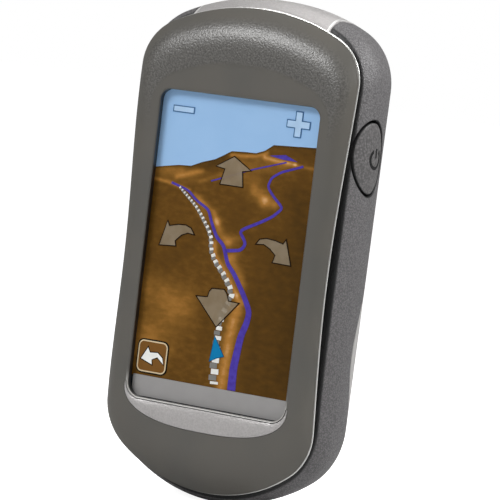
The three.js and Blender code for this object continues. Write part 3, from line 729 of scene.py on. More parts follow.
def front_bezel():
    """A shell round the window, with a pocket for the crescent, and values for its texture, a painted
    highlight on its lower lip and painted shade on its wall.
    """
    edge = bezel_outline(0)
    crease = edge * CREASE_SCALE
    heights = edge[:, 1]
    above = smooth_step(heights, 30, 46)
    drop = (BEZEL_EDGE - RIM_FRONT) + end_fall(heights)
    # The lip of the window, rounded over, then the flat surround.
    rings = [window_ring(out, RIM_FRONT + back) for out, back in rounding(0.4, 5)]
    grain = {}
    crease_ring = place_on_front(crease, RIM_FRONT, 0)
    for share in np.linspace(0, 1, 9)[1:]:
        rings.append(rings[4] * (1 - share) + crease_ring * share)
    # The shoulder.
    for share in np.linspace(0, 1, 34)[1:]:
        level = crease + (edge - crease) * share
        fallen = above * shoulder_profile(share) + (1 - above) * share ** 2.5
        ring = place_on_front(level, 0, 0)
        ring[:, 1] = RIM_FRONT + drop * fallen
        grain[len(rings)] = above * smooth_step(share, 0, 0.06) * (1 - smooth_step(share, 0.66, 0.9))
        rings.append(ring)
    # The edge, the rear, and the wall of the window.
    for angle in np.linspace(0, pi / 2, 5)[1:]:
        outward = bezel_outline(0.12 * sin(angle))
        rings.append(place_on_front(outward, BEZEL_EDGE + 0.25 * (1 - cos(angle))))
    rings.append(place_on_front(edge, BEZEL_REAR))
    rings.append(place_on_front(edge * (0.87, 0.72), BEZEL_REAR, 0.8))
    wall = len(rings) + 1
    rings.append(window_ring(2.6, BEZEL_INSIDE))
    rings += [window_ring(0, depth) for depth in (BEZEL_INSIDE, -16.5, -16.9)]
    obj = ring_solid("front_bezel", rings, closed=True)
    shape = (len(rings), len(edge))
    values = {name: np.zeros(shape) for name in ("grain", "lip", "wall")}
    for row, amount in grain.items():
        values["grain"][row] = amount
    # Painted highlight along the lower half of the window's lip.
    values["lip"][1:5] = 1 - smooth_step(rings[0][:, 2], -33, -29)
    # Painted shade on the window's wall and the lip's inner edge.
    values["wall"][wall:] = 1
    values["wall"][0] = 0.8
    for name, amounts in values.items():
        set_attribute(obj, name, amounts.ravel())
    pocket = crescent_plate("crescent pocket", 0.1, 0.2, RIM_FRONT - 1, RIM_FRONT + 0.83)
    return boolean(obj, pocket, "DIFFERENCE", "EXACT")


def crescent_edges(outward, inward):
    """The crescent below the window: a bowed lower edge, and an upper edge along the window's lip."""
    steps = 90
    angles = np.linspace(pi, 2 * pi, steps)
    across, down = np.cos(angles), np.abs(np.sin(angles))
    x = (CRESCENT_HALF_WIDTH + outward) * np.sign(across) * np.abs(across) ** CRESCENT_POWER
    z = CRESCENT_TOP - (CRESCENT_DROP + outward) * down ** CRESCENT_POWER
    lip = window_ring(0.5 - inward, 0)[:, (0, 2)]
    lip = lip[lip[:, 1] < CRESCENT_TOP + 0.1]
    lip = lip[np.argsort(np.arctan2(lip[:, 0], -(lip[:, 1] - CRESCENT_TOP - 1)))]
    return np.column_stack([x, z]), resample(lip, steps)


def crescent_plate(name, outward, inward, front, rear, radius=0.0):
    """A plate between the crescent's two edges, with its front corners rounded by a radius."""
    rings = []
    for low, high in zip(*crescent_edges(outward, inward)):
        across = (high - low) / np.linalg.norm(high - low)
        half = [(0.0, rear)]
        half += [(out, front + back) for out, back in rounding(radius, 4 if radius else 1)]
        section = [(low + across * reach, depth) for reach, depth in half]
        section += [(high - across * reach, depth) for reach, depth in reversed(half)]
        rings.append(np.array([(point[0], depth, point[1]) for point, depth in section]))
    return ring_solid(name, rings)


def crescent_insert():
    return crescent_plate("crescent_insert", 0, 0, RIM_FRONT - 0.02, RIM_FRONT + 0.75, 0.08)


# ---- trim ring


def trim_ring():
    """A bead around the bezel's rear edge, its bright colour partly a painted highlight."""
    bead = 0.16
    rings = []
    for angle in np.linspace(-pi / 2, pi / 2, 9):
        outline = bezel_outline(0.1 + bead * cos(angle))
        rings.append(place_on_front(outline, -15.38 + bead * sin(angle)))
    rings.append(place_on_front(bezel_outline(-1.5), -15.1))
    rings.append(place_on_front(bezel_outline(-1.5), -15.54))
    return ring_solid("trim_ring", rings, closed=True)


# ---- band, top cap, button, USB cap


def band_shell(name, front, front_radius, gap):
    """The outer layer of the side, from a depth at the front to the seam, with both edges rounded."""
    rear_radius = 0.3
    rings = [case_ring(inset, front + back) for back, inset in rounding(front_radius, 6)]
    start = front + front_radius
    end = seam_depths(0, -gap) - rear_radius
    for share in np.linspace(0, 1, 30)[1:]:
        rings.append(case_ring(0, start + (end - start) * share))
    for inset, short in rounding(rear_radius, 5)[1:]:
        rings.append(case_ring(inset, seam_depths(inset, -gap) - short))
    inner_end = seam_depths(SKIN, -gap)
    for share in np.linspace(1, 0, 12):
        rings.append(case_ring(SKIN, front + (inner_end - front) * share))
    return ring_solid(name, rings, closed=True)


def top_block(name, half_width, flare_radius, outward):
    """The region of the top cap. Its sides curve outward or inward just under the case's surface."""
    rings = []
    deepest = 4.0
    insets = (deepest, 2.5, 1.2, *(flare_radius * share for share in (1, 0.6, 0.3, 0.1, 0)), -0.05)
    for y in np.linspace(-16.5, 3.5, 50):
        right = []
        for inset in insets:
            reach = min(max(flare_radius - inset, 0), flare_radius)
            flare = flare_radius - sqrt(flare_radius ** 2 - reach ** 2)
            x = half_width + (flare if outward else -flare)
            height = float(top_z(x, min(y, 2.5), inset))
            right.append((x, height if inset < deepest else 44.0))
        right.append((x, 60.0))
        left = [(-x, z) for x, z in reversed(right)]
        rings.append(np.insert(np.array(right + left), 1, y, axis=1))
    return ring_solid(name, rings)


def oval_ring(margin, inset, scale=1.0):
    """A ring around the power button that lies on the right side of the case, drawn in by an inset."""
    angles = np.linspace(0, 2 * pi, 96, endpoint=False)
    across = (BUTTON_SEMI_DEPTH + margin) * np.cos(angles) * scale
    up = (BUTTON_SEMI_HEIGHT + margin) * np.sin(angles) * scale
    y = BUTTON_DEPTH + across * cos(BUTTON_TILT) - up * sin(BUTTON_TILT)
    z = BUTTON_HEIGHT + across * sin(BUTTON_TILT) + up * cos(BUTTON_TILT)
    return np.column_stack([side_x(y, z, inset), y, z])


def button_hole(name):
    """A plug to cut the button's hole, flared to round the hole's lip."""
    lip = 0.3
    rings = [oval_ring(BUTTON_CLEARANCE, inset) for inset in (6.0, 3.0, lip)]
    for reach in (0.4, 0.7, 0.9, 1.0):
        flare = lip * (1 - sqrt(1 - reach ** 2))
        rings.append(oval_ring(BUTTON_CLEARANCE + flare, lip * (1 - reach)))
    rings.append(oval_ring(BUTTON_CLEARANCE + lip, -1.5))
    return ring_solid(name, rings)


def power_button():
    """A slightly crowned cap and its stem."""
    edge = 0.45
    scales = (0.06, 0.2, 0.35, 0.5, 0.65, 0.8, 0.92, 1.0)
    rings = [oval_ring(-edge, -BUTTON_CROWN * (1 - scale ** 2), scale) for scale in scales]
    rings += [oval_ring(-short, inset) for inset, short in rounding(edge, 6)[1:]]
    rings += [oval_ring(0, 1.5, scale) for scale in (1, 0.75, 0.5, 0.25)]
    cap = ring_solid("power_button", rings)
    # Painted shade on the cap's rounded rim, where it sits down in its hole.
    crevice_shade = np.zeros(len(cap.data.vertices))
    rim = (len(scales) + 2) * len(rings[0])
    crevice_shade[rim:rim + 4 * len(rings[0])] = 1
    set_attribute(cap, "crevice_shade", crevice_shade)
    return add(cap, rod_x("stem", 1.2, 19.65, 27.0, -5.5, BUTTON_HEIGHT))


def button_place(y, z):
    """A place on the side, measured along the power button's two axes from its middle."""
    across = (y - BUTTON_DEPTH) * cos(BUTTON_TILT) + (z - BUTTON_HEIGHT) * sin(BUTTON_TILT)
    up = (z - BUTTON_HEIGHT) * cos(BUTTON_TILT) - (y - BUTTON_DEPTH) * sin(BUTTON_TILT)
    return across, up


def button_x(y, z):
    """How far the face of the power button is from the middle plane."""
    across, up = button_place(y, z)
    out = (across / BUTTON_SEMI_DEPTH) ** 2 + (up / BUTTON_SEMI_HEIGHT) ** 2
    return side_x(y, z, 0) + BUTTON_CROWN * (1 - out)


def button_ribbon(name, path, half_width):
    """A thin raised line on the face of the power button, along a path in Y and Z."""
    rings = []
    for point, offset in zip(path, sideways(path) * half_width):
        ring = []
        for side, height in ((-1, 0.05), (0, 0.06), (1, 0.05), (1, -0.2), (0, -0.2), (-1, -0.2)):
            y, z = point + offset * side
            ring.append((float(button_x(y, z)) + height, y, z))
        rings.append(np.array(ring))
    return ring_solid(name, rings)


def power_symbol():
    """A broken oval with a bar through its gap."""
    y, z = -6.1, 24.7
    half_depth, half_height = 2.3, 2.05
    half_line = 0.36
    half_gap = 36
    angles = np.radians(np.linspace(90 + half_gap, 90 + 360 - half_gap, 40))
    path = np.column_stack([y + half_depth * np.cos(angles), z + half_height * np.sin(angles)])
    ring = button_ribbon("power_symbol", path, half_line)
    bar = np.column_stack([np.full(6, y), np.linspace(z + 0.2, z + 2.3, 6)])
    return join_meshes(ring, button_ribbon("bar", bar, half_line))


def join_meshes(target, other):
    """Two closed meshes as one object."""
    mesh = bmesh.new()
    mesh.from_mesh(target.data)
    mesh.from_mesh(other.data)
    bpy.data.objects.remove(other)
    mesh.to_mesh(target.data)
    mesh.free()
    return target


def usb_cap():
    """A part of the band at the foot, with a plug for the port behind it."""
    shell = band_shell("usb_cap", BAND_EDGE, 0.4, SEAM_GAP / 2)
    shell = keep(shell, middle_block("region", 6.5, -9.6, -2.4, -FAR, -50, 0.35))
    return add(shell, middle_block("plug", 3.4, -7.2, -4.6, -55.5, -54.25, 0.2))


def rubber_band():
    """The band, with painted shade along its front edge and round the lip of the button's hole."""
    band = band_shell("rubber_band", BAND_EDGE, 0.5, SEAM_GAP / 2)
    cut(
        band,
        top_block("top opening", 17.35, 0.35, True),
        middle_block("port opening", 6.75, -9.85, -2.1, -FAR, -50, 0.3),
        button_hole("button hole"),
    )
    x, y, z = np.array([corner.co for corner in band.data.vertices]).T * 1000
    z -= HALF_HEIGHT
    # Painted shade along the front edge, in the groove behind the bezel, and round the lip of the button's
    # hole on the right side.
    front = 1 - smooth_step(y - BAND_EDGE - front_share(BAND_EDGE) * end_fall(z), 0.12, 0.45)
    across, up = button_place(y, z)
    clear = BUTTON_CLEARANCE + 0.2
    around = np.hypot(across / (BUTTON_SEMI_DEPTH + clear), up / (BUTTON_SEMI_HEIGHT + clear))
    set_attribute(band, "crevice_shade", np.maximum(front, (around < 1) * (x > 0)))
    return band


def top_cap():
    """The silver cap over the top end."""
    shell = band_shell("top_cap", TOP_CAP_FRONT, 0.5, SEAM_GAP / 2)
    return keep(shell, top_block("region", 17.2, 0.3, False))


def top_cap_border(name, side):
    """A narrow smooth border along one end of the top cap, lighter than the cap as a painted highlight."""
    shell = case_solid(name, -0.05, TOP_CAP_FRONT)
    region = block("region", *sorted((side * 16.55, side * 17.0)), TOP_CAP_FRONT + 0.2, 1.5, 44, FAR)
    return keep(cut(shell, case_solid("under", 0.3, TOP_CAP_FRONT - 1)), region)


# ---- rear housing


CASE_SCREWS = ((-21.3, 36), (21.3, 36), (-21.1, -37.5), (21.1, -37.5))  # in X and Z


def rear_housing():
    """The case behind the board: its wall, the battery bay and the fixed top of the back."""
    wall = cut(case_solid("rear_housing", HOUSING_INSET, HOUSING_FRONT), case_solid("inside", 3.5, -15.7))
    wall = keep(wall, middle_block("layer", FAR, -8.3, 3, -FAR, FAR))
    floor = keep(case_solid("floor", 2.5), middle_block("layer", FAR, FLOOR_FRONT, FLOOR_REAR, -FAR, FAR))
    bay = cut(
        middle_block("bay", 17.0, FLOOR_FRONT, 8.0, BAY_BOTTOM - 1.7, BAY_TOP + 1.7, 0.3),
        middle_block("hollow", 15.3, FLOOR_REAR, FAR, BAY_BOTTOM, BAY_TOP),
    )
    hood = middle_block("hood", 6, -4.6, -2.2, -53.8, -42)
    behind_seam = SEAM_DEPTH + SEAM_GAP / 2
    back_region = middle_block("region", FAR, behind_seam, FAR, FIXED_BACK_BOTTOM, FAR, 0.25)
    fixed_back = shell_part("fixed back", 0, 2.6, back_region)
    # A low lip behind the door's top edge closes the line of sight through that seam.
    lip_region = middle_block("region", FAR, behind_seam, FAR, DOOR_TOP - 0.25, 41)
    lip = shell_part("lip", HOUSING_INSET, 2.9, lip_region)
    post = keep(
        add(middle_block("post", 5, 2, 6.9, -FAR, -50.4), middle_block("lip", 5, 5.6, 6.9, -FAR, -48.9)),
        case_solid("limit", HOUSING_INSET, HOUSING_FRONT),
    )
    housing = add(wall, floor, bay, hood, fixed_back, lip, post)
    cut(
        housing,
        middle_block("port", 4.6, -8.35, -3.3, -FAR, -43),
        middle_block("card window", 6.6, -FAR, 0, -26, -13),
        button_hole("button hole"),
    )
    half_pocket = HOOK_HALF_WIDTH + 0.4
    for side in (-1, 1):
        x = side * HOOK_X
        cut(housing, block("pocket", x - half_pocket, x + half_pocket, 4, 10.7, 39.4, 42.8))
    for x, z in CASE_SCREWS:
        cut(housing, rod_y("screw hole", 1.15, -FAR, 0, x, z))
    return housing


# ---- battery door and latch


def door_shell():
    """The door's curved wall: a cup from the seam to the flat of the back."""
    gap = SEAM_GAP / 2
    radius = 0.3
    flat = WIDEST_DEPTH + LAST_BACK_LEVEL * BACK_REACH
    inner_flat = WIDEST_DEPTH + LAST_BACK_LEVEL * (BACK_REACH - SKIN)
    shares = np.sin(np.linspace(0, pi / 2, 34))
    start = seam_depths(0, gap) + radius
    outer = [case_ring(0, start + (flat - start) * share) for share in shares]
    lip = []
    for inset, short in rounding(radius, 5)[1:]:
        lip.append(case_ring(inset, seam_depths(inset, gap) + short))
    inner_start = seam_depths(SKIN, gap)
    inner = [case_ring(SKIN, inner_start + (inner_flat - inner_start) * share) for share in shares]
    rings = [
        *toward_middle(outer[-1], END_SCALES)[::-1],
        *outer[::-1],
        *lip,
        *inner,
        *toward_middle(inner[-1], END_SCALES),
    ]
    return ring_solid("battery_door", rings)


def battery_door():
    """The back, with its clip rail, two hooks at the top and two ears for the latch's pin."""
    door = keep(door_shell(), middle_block("region", FAR, -FAR, FAR, -FAR, DOOR_TOP, 0.25))
    add(
        door,
        middle_block("rail foot", 4.5, 14.2, 16.2, -26, 22, 0.1),
        middle_block("rail head", 6.5, 16, 17.5, -26, 22, 0.45),
    )
    limit = 0.6  # how far inside the case's surface the hooks and ears stay
    for side in (-1, 1):
        x0, x1 = side * HOOK_X - HOOK_HALF_WIDTH, side * HOOK_X + HOOK_HALF_WIDTH
        hook = add(
            block("hook root", x0, x1, 8.8, 13, 35.5, DOOR_TOP - 0.3),
            block("hook tongue", x0, x1, 8.8, 10.4, 35.5, 42.4, 0.2),
        )
        ear = block("ear", 9.2 * side - 1.3, 9.2 * side + 1.3, 7.6, 13, -48.5, -43.3)
        add(door, keep(hook, case_solid("limit", limit)), keep(ear, case_solid("limit", limit)))
    return cut(
        door,
        middle_block("latch opening", 7.6, 6, FAR, -48.6, -36.1, 0.8),
        rod_x("pin hole", 1.0, -9.8, 9.8, LATCH_PIN_DEPTH, LATCH_PIN_HEIGHT),
    )


def latch_lever():
    """A lever flush with the back, on a hub, with a hook that grips the housing."""
    plate = shell_part("latch_lever", 0, 2.2, middle_block("region", 7.2, 6, FAR, -48, -36.5, 0.6))
    hub = rod_x("hub", 2.0, -7.2, 7.2, LATCH_PIN_DEPTH, LATCH_PIN_HEIGHT)
    outline = (
        (10.5, -47.8), (10, -45), (8, -44.6), (3.7, -46.8),
        (3.7, -49.9), (5.3, -49.9), (5.3, -48.4), (7.2, -48.4),
    )
    hook = prism("hook", outline, 0, -4, 4)
    add(plate, hub, hook)
    cut(plate, rod_x("pin hole", 1.0, -FAR, FAR, LATCH_PIN_DEPTH, LATCH_PIN_HEIGHT))
    groove = 0.35
    for z in (-38.6, -40.2, -41.8):
        floor = back_surface(z) - groove
        cut(plate, middle_block("grip groove", 5.2, floor, FAR, z - groove, z + groove, 0.15))
    return plate


def back_surface(z):
    """Depth of the case's back on its middle plane."""
    low, high = WIDEST_DEPTH, WIDEST_DEPTH + LAST_BACK_LEVEL * BACK_REACH
    for _ in range(40):
        middle = (low + high) / 2
        if abs(z) < np.abs(case_ring(0, middle)[:, 2]).max():
            low = middle
        else:
            high = middle
    return low


# ---- batteries


def battery(name, x, foot, direction):
    """A cell on its foot, with its button end up or down, turned about Z."""
    end = CELL_LENGTH
    profile = [
        (0.5, 0.0), (5.6, 0.0), (6.5, 0.05), (6.9, 0.25), (CELL_RADIUS, 0.7),
        *((CELL_RADIUS, height) for height in np.linspace(2, end - 3.2, 30)),
        (CELL_RADIUS, end - 1.9), (6.95, end - 1.45), (6.6, end - 1.2), (5.6, end - 1.35),
        (2.9, end - 1.3), (2.7, end - 1.1), (2.7, end - 0.35), (2.45, end - 0.08), (2.1, end), (0.4, end),
    ]
    rings = [
        np.insert(circle(radius, x, 4.5, 72), 2, foot + direction * height, axis=1)
        for radius, height in profile
    ]
    obj = ring_solid(name, rings)
    z = np.array([corner.co.z * 1000 for corner in obj.data.vertices])
    heights = (z - HALF_HEIGHT - foot) * direction
    set_attribute(obj, "band", (heights > end - 13) * (heights < end - 1.5))
    return obj


# ---- the screen's picture


EDGE_X = 20.3
PICTURE_TOP = 34.9
LEVEL_STEP = 0.012


def polyline_band(path, widths):
    """The outline of a line along a path, with a width at each of its points."""
    widths = np.broadcast_to(np.asarray(widths, float), len(path))
    across = sideways(path) * widths[:, None] / 2
    return np.vstack([path + across, (path - across)[::-1]])


def finer(path, step):
    """A path with more points along it, rounded at its corners."""
    path = np.array(path, float)
    fine = resample(path, max(int(path_lengths(path)[-1] / step), 2))
    for _ in range(2):
        fine[1:-1] = (fine[:-2] + 2 * fine[1:-1] + fine[2:]) / 4
    return fine


def layer(name, outline, level, material):
    """A thin sheet of the picture. Higher levels lie in front."""
    obj = prism(name, outline, 1, SCREEN - LEVEL_STEP * level, SCREEN - 0.001)
    obj.data.materials.append(material)
    return obj


def lit_screen(nodes, colour):
    """The picture glows a little and hardly shines."""
    nodes.set(Base_Color=colour, Emission_Color=colour, Emission_Strength=0.12)
    nodes.set(Roughness=0.45, Specular_IOR_Level=0.04)
    return nodes.material


def screen_paint(name, colour, second=None, size=2.0, alpha=1.0):
    """A patch of the lit picture behind smooth glass."""
    nodes = Nodes("picture " + name)
    blend = nodes.spread(nodes.noise(size, 4.0), 0.36, 0.64)
    nodes.set(Alpha=alpha)
    return lit_screen(nodes, nodes.mix(blend, colour, second or scaled(colour, 0.93)))


def ground_paint():
    """Hills in evening light: from shaded brown to pale gold, as the mesh's light value says."""
    nodes = Nodes("picture ground")
    mottle = nodes.spread(nodes.noise(2.2, 6.0, (1, 1, 1.8)), 0.3, 0.7, -0.06, 0.06)
    ramp = nodes.node("ValToRGB", Fac=nodes.math("ADD", nodes.attribute("light"), mottle))
    bands = ramp.color_ramp.elements
    bands[0].color = srgb(52, 35, 12)
    bands[1].color = srgb(222, 176, 122)
    shades = ((0.26, (76, 53, 20)), (0.43, (96, 66, 24)), (0.6, (126, 88, 36)), (0.8, (170, 118, 54)))
    for place, shade_colour in shades:
        bands.new(place).color = srgb(*shade_colour)
    return lit_screen(nodes, ramp.outputs["Color"])


SKY = screen_paint("sky", srgb(150, 188, 228), srgb(154, 191, 230), 9.0)
ICON_LINE = screen_paint("icon line", srgb(62, 104, 150))
ICON_FILL = screen_paint("icon fill", srgb(178, 208, 238))
GROUND = ground_paint()
ROAD = screen_paint("road", srgb(80, 66, 168), srgb(72, 56, 150), 1.0)
TRACK_LIGHT = screen_paint("track light", srgb(232, 232, 228))
TRACK_DARK = screen_paint("track dark", srgb(128, 126, 122))
ARROW_LINE = screen_paint("arrow line", srgb(36, 24, 12), alpha=0.95)
ARROW_FILL = screen_paint("arrow fill", srgb(152, 138, 116), srgb(142, 126, 102), 3.0, alpha=0.72)
MARKER = screen_paint("marker", srgb(18, 122, 174))
MARKER_EDGE = screen_paint("marker edge", srgb(10, 74, 112))
CREAM = screen_paint("button edge", srgb(214, 196, 160))
BROWN = screen_paint("button face", srgb(122, 84, 40))
WHITE = screen_paint("white", srgb(240, 240, 236))
NEAR_BLACK = screen_paint("black", srgb(24, 20, 16))


def rounded_rectangle(x0, x1, z0, z1, radius):
    corners = (x1, z0, -1, 1), (x1, z1, -1, -1), (x0, z1, 1, -1), (x0, z0, 1, 1)
    points = []
    for turn, (x, z, inward_x, inward_z) in enumerate(corners):
        for angle in np.radians(np.linspace(90 * turn - 90, 90 * turn, 8)):
            points.append((x + radius * (inward_x + cos(angle)), z + radius * (inward_z + sin(angle))))
    return points


def plus_outline(x, z, half, arm):
    """A plus sign, from one of its inner corners turned four times."""
    turns = [np.array([(-half, -arm / 2), (-arm / 2, -arm / 2), (-arm / 2, -half)])]
    for _ in range(3):
        turns.append(turns[-1][:, ::-1] * (-1, 1))
    return np.vstack(turns) + (x, z)


def grown(outline, margin):
    """An outline, turned anticlockwise and moved outward by a margin."""
    points = np.array(outline, float)
    x, z = points.T
    if np.sum(x * np.roll(z, -1) - np.roll(x, -1) * z) < 0:
        points = points[::-1]
    normals = []
    for edge in (points - np.roll(points, 1, axis=0), np.roll(points, -1, axis=0) - points):
        edge /= np.linalg.norm(edge, axis=1)[:, None]
        normals.append(np.column_stack([edge[:, 1], -edge[:, 0]]))
    middle = normals[0] + normals[1]
    middle /= np.maximum(np.sum(middle * normals[0], axis=1), 0.35)[:, None]
    return points + middle * margin


def icon(name, outline, margin, level, line, fill):
    """A filled shape with a line around it."""
    front = SCREEN - LEVEL_STEP * (level + 1)
    rings = []
    for (x0, z0), (x1, z1) in zip(grown(outline, 0), grown(outline, margin)):
        rings.append(np.array([(x0, front, z0), (x1, front, z1), (x1, SCREEN, z1), (x0, SCREEN, z0)]))
    edge = ring_solid(name + " line", rings, closed=True)
    edge.data.materials.append(line)
    return [edge, layer(name, outline, level, fill)]


MAIN_ROAD = [
    (-15.7, 13.7), (-11.2, 12.5), (-8.9, 10.5), (-5.6, 8.9), (-4.6, 6.4), (-2.8, 3), (-0.85, 1.6),
    (-0.35, 0.3), (0.7, -2.5), (2.6, -4.4), (4.3, -6.9), (5.9, -9.3), (7.5, -12.3), (7.1, -15),
    (6.1, -17.8), (5.7, -21.1), (5.2, -25.3), (5.3, -30.2),
]
BRANCH_ROAD = [
    (16.4, 21.3), (11.2, 19.4), (9, 17.9), (8.3, 15.8), (9.9, 14), (12.6, 11.6), (10.5, 9.5), (7.4, 7.7),
    (3.5, 5.7), (2.75, 5), (3.9, 3.7), (4.6, 2.5), (3.6, 1), (-0.1, 0.4),
]
TRACK = [
    (-13.6, 13), (-11.7, 11.5), (-9, 9.3), (-7.4, 7.5), (-5.1, 4.5), (-4.2, 2.7), (-3.8, 0), (-2.6, -2.2),
    (-0.3, -4.6), (1.7, -7.2), (2.6, -9), (1.9, -11), (0.8, -13.6), (0.3, -16.6), (0.35, -24.7), (0.6, -29.6),
]
SKYLINE = [
    (-EDGE_X, 16.7), (-14.5, 17.8), (-11.3, 18), (-8.6, 19.2), (-5.5, 20.2), (-3.2, 21.5), (-1.6, 22.5),
    (1.4, 22.7), (4.5, 22.8), (6.6, 23.6), (8.6, 25.1), (11.9, 25.3), (EDGE_X, 25.8),
]

# Where the hills catch the light or lie in shade: a path, its softness in millimetres and its strength.
SUNLIT = [
    ([(-EDGE_X, 16.6), (-13.5, 16.2), (-10.5, 17)], 1.5, 0.2),
    ([(-14.5, 15.2), (-11.1, 16.4), (-8.4, 17.3)], 0.45, 0.2),
    ([(-8.6, 14.9), (-5.6, 16.1), (-2.6, 17.3)], 0.4, 0.16),
    ([(-1.5, 21.7), (2.4, 21.9), (4.8, 22.2), (7.2, 23.2)], 0.35, 0.3),
    ([(-EDGE_X, 14.1), (-15.5, 13.5), (-11, 12.6)], 0.3, 0.3),
    ([(1, 19.6), (5.5, 20.3), (12, 21)], 1.4, 0.14),
    ([(6.8, 22.2), (9.3, 21.8), (14.3, 21.5)], 0.4, 0.34),
    ([(14.3, 21.4), (EDGE_X, 21)], 0.3, 0.22),
    ([(0, 17.4), (4, 17)], 1.6, 0.12),
    ([(5.4, 14.4), (7.6, 13)], 1.2, 0.26),
    ([(8.2, 12.6), (10.6, 12.2)], 0.9, 0.24),
    ([(-9.4, 11.6), (-7.8, 10.6), (-4.4, 8.6), (-3, 6.2)], 0.55, 0.26),
    ([(-8.4, 9.6), (-5.6, 6.8)], 0.9, 0.14),
    ([(-3.2, 6.4), (-1.6, 3.8), (0.2, 2.2)], 0.8, 0.24),
    ([(0.4, 2.6), (2.2, 3.4)], 1.0, 0.16),
    ([(0.8, -0.8), (2.4, -0.2)], 0.9, 0.18),
    ([(1.2, -1.8), (3.2, -4), (5, -6.6)], 1.0, 0.26),
    ([(-3.2, 1.8), (-2.8, -0.8), (-0.6, -3.4), (1.6, -6), (3.8, -9)], 0.5, 0.36),
    ([(4.6, -10.6), (3.9, -14), (3.4, -18), (3.0, -23), (2.7, -31)], 1.15, 0.38),
    ([(-19, -10.5), (-12, -12), (-9, -12.6)], 2.6, 0.16),
    ([(-19, -21), (-14, -18.5), (-12, -16)], 3.4, 0.15),
    ([(-15.4, -23.6), (-12, -24)], 1.6, 0.12),
    ([(-EDGE_X, -25), (-17, -22)], 2.2, 0.1),
]
SHADED = [
    ([(7, -6), (9, -14), (9, -31)], 1.4, 0.07),
    ([(12, 2), (13.5, -12), (13.5, -31)], 3.4, 0.12),
    ([(16, 14), (19, 4), (19, -26)], 2.4, 0.14),
    ([(-9, 1), (-13, -3), (-17, -5)], 1.6, 0.06),
    ([(-4, -13.5), (-3, -16), (-2.6, -20)], 1.2, 0.05),
    ([(-12, 17.3), (-7, 18.6), (-3.4, 20.4)], 0.6, 0.14),
    ([(3.2, 11), (1.5, 8), (3, 4)], 1.8, 0.05),
    ([(12.5, 24.6), (EDGE_X, 24.2)], 1.2, 0.06),
]


def stroke(x, z, path, softness):
    """How near each place is to a path, from 1 on it to 0 far away."""
    nearest = np.inf
    for (x0, z0), (x1, z1) in zip(path, path[1:]):
        dx, dz = x1 - x0, z1 - z0
        t = np.clip(((x - x0) * dx + (z - z0) * dz) / (dx ** 2 + dz ** 2), 0, 1)
        nearest = np.minimum(nearest, (x - x0 - t * dx) ** 2 + (z - z0 - t * dz) ** 2)
    return np.exp(-nearest / (2 * softness ** 2))


def terrain():
    """Hills under the sky, with a value of light at each corner."""
    bottom = STRIP_TOP - 0.3
    across = np.linspace(-EDGE_X, EDGE_X, 150)
    top = np.interp(across, *np.array(SKYLINE).T)
    z = bottom + (top - bottom) * np.linspace(0, 1, 230)[:, None]
    x = np.broadcast_to(across, z.shape)
    light = np.full(z.shape, 0.44)
    for path, softness, strength in SUNLIT:
        light += strength * stroke(x, z, path, softness)
    for path, softness, strength in SHADED:
        light -= strength * stroke(x, z, path, softness)
    light -= 0.25 * np.exp(-((top - z) / 0.3) ** 2)
    front = np.stack([x, np.full(z.shape, SCREEN - 2 * LEVEL_STEP), z], axis=-1)
    obj = sheet("screen_picture_ground", front, 0.02)
    set_attribute(obj, "light", np.tile(light.ravel(), 2))
    return obj


def roads():
    main = finer(MAIN_ROAD, 0.6)
    branch = finer(BRANCH_ROAD, 0.5)
    far = finer([(-5.8, 15.3), (4.1, 19.1), (12.2, 21.7)], 0.8)
    outlines = (
        polyline_band(main, np.interp(main[:, 1], (-30.2, -22, -12, 0, 13), (2.0, 1.75, 1.3, 0.85, 0.5))),
        polyline_band(branch, np.interp(branch[:, 1], (0, 20), (0.75, 0.5))),
        polyline_band(far, 0.3),
        [(8, 22.7), (11.2, 22.2), (14.9, 22.1), (11.8, 23.3)],
    )
    return [layer("road", outline, 8, ROAD) for outline in outlines]


def track_dashes():
    """The track, in light and dark dashes by turns, which grow towards the foot of the screen."""
    track = finer(TRACK, 0.1)
    lengths = path_lengths(track)
    made = []
    start = 0.0
    paint, next_paint, lean = TRACK_LIGHT, TRACK_DARK, 0.12
    while start < lengths[-1] - 0.3:
        here = int(np.searchsorted(lengths, start))
        width = float(np.interp(track[here, 1], (-29.6, -18, -5, 13), (2.0, 1.5, 1.15, 0.5)))
        start += width * 0.75
        there = min(int(np.searchsorted(lengths, start)), len(track) - 1)
        if there > here + 1:
            piece = track[here:there + 1:max((there - here) // 3, 1)]
            made.append(layer("track dash", polyline_band(piece + (lean * width, 0), width), 9, paint))
        paint, next_paint, lean = next_paint, paint, -lean
    return made


def routes():
    """The roads, the dashed track and the position marker."""
    marker = [(-0.3, -18.9), (-0.9, -24.5), (0.7, -23.6), (2.4, -23)]
    return roads() + track_dashes() + icon("position marker", marker, 0.14, 11, MARKER_EDGE, MARKER)


def arrows():
    """Four translucent arrows to move the map."""
    up = [(-0.7, 21.3), (3.6, 18.8), (1.6, 18.4), (2.1, 15), (-3.4, 15), (-2.6, 18.5), (-4.8, 18.8)]
    down = [
        (-2.4, -8.5), (0.6, -8.3), (1.3, -9), (2, -10.7), (4.5, -10.8), (-0.3, -16.6), (-5.9, -10.7),
        (-3.2, -10.5), (-2.9, -9.2),
    ]
    left = [
        (-15.5, 4.9), (-15, 3.9), (-12.7, 4.5), (-10.8, 4.6), (-9.5, 4.1), (-8.6, 2.9), (-10.1, 3.1),
        (-11.7, 2.4), (-13.2, 0.9), (-12.9, -0.2), (-16.9, -0.5),
    ]
    right = [
        (7.3, 3), (8, 4), (9.6, 4.4), (11.7, 4.2), (13.8, 3.7), (14.4, 4.6), (16.1, -0.6), (11.8, -0.5),
        (12.3, 1.1), (10.8, 2.4), (9.1, 3.2),
    ]
    made = []
    for outline in (up, down, left, right):
        made += icon("arrow", outline, 0.24, 12, ARROW_LINE, ARROW_FILL)
    return made


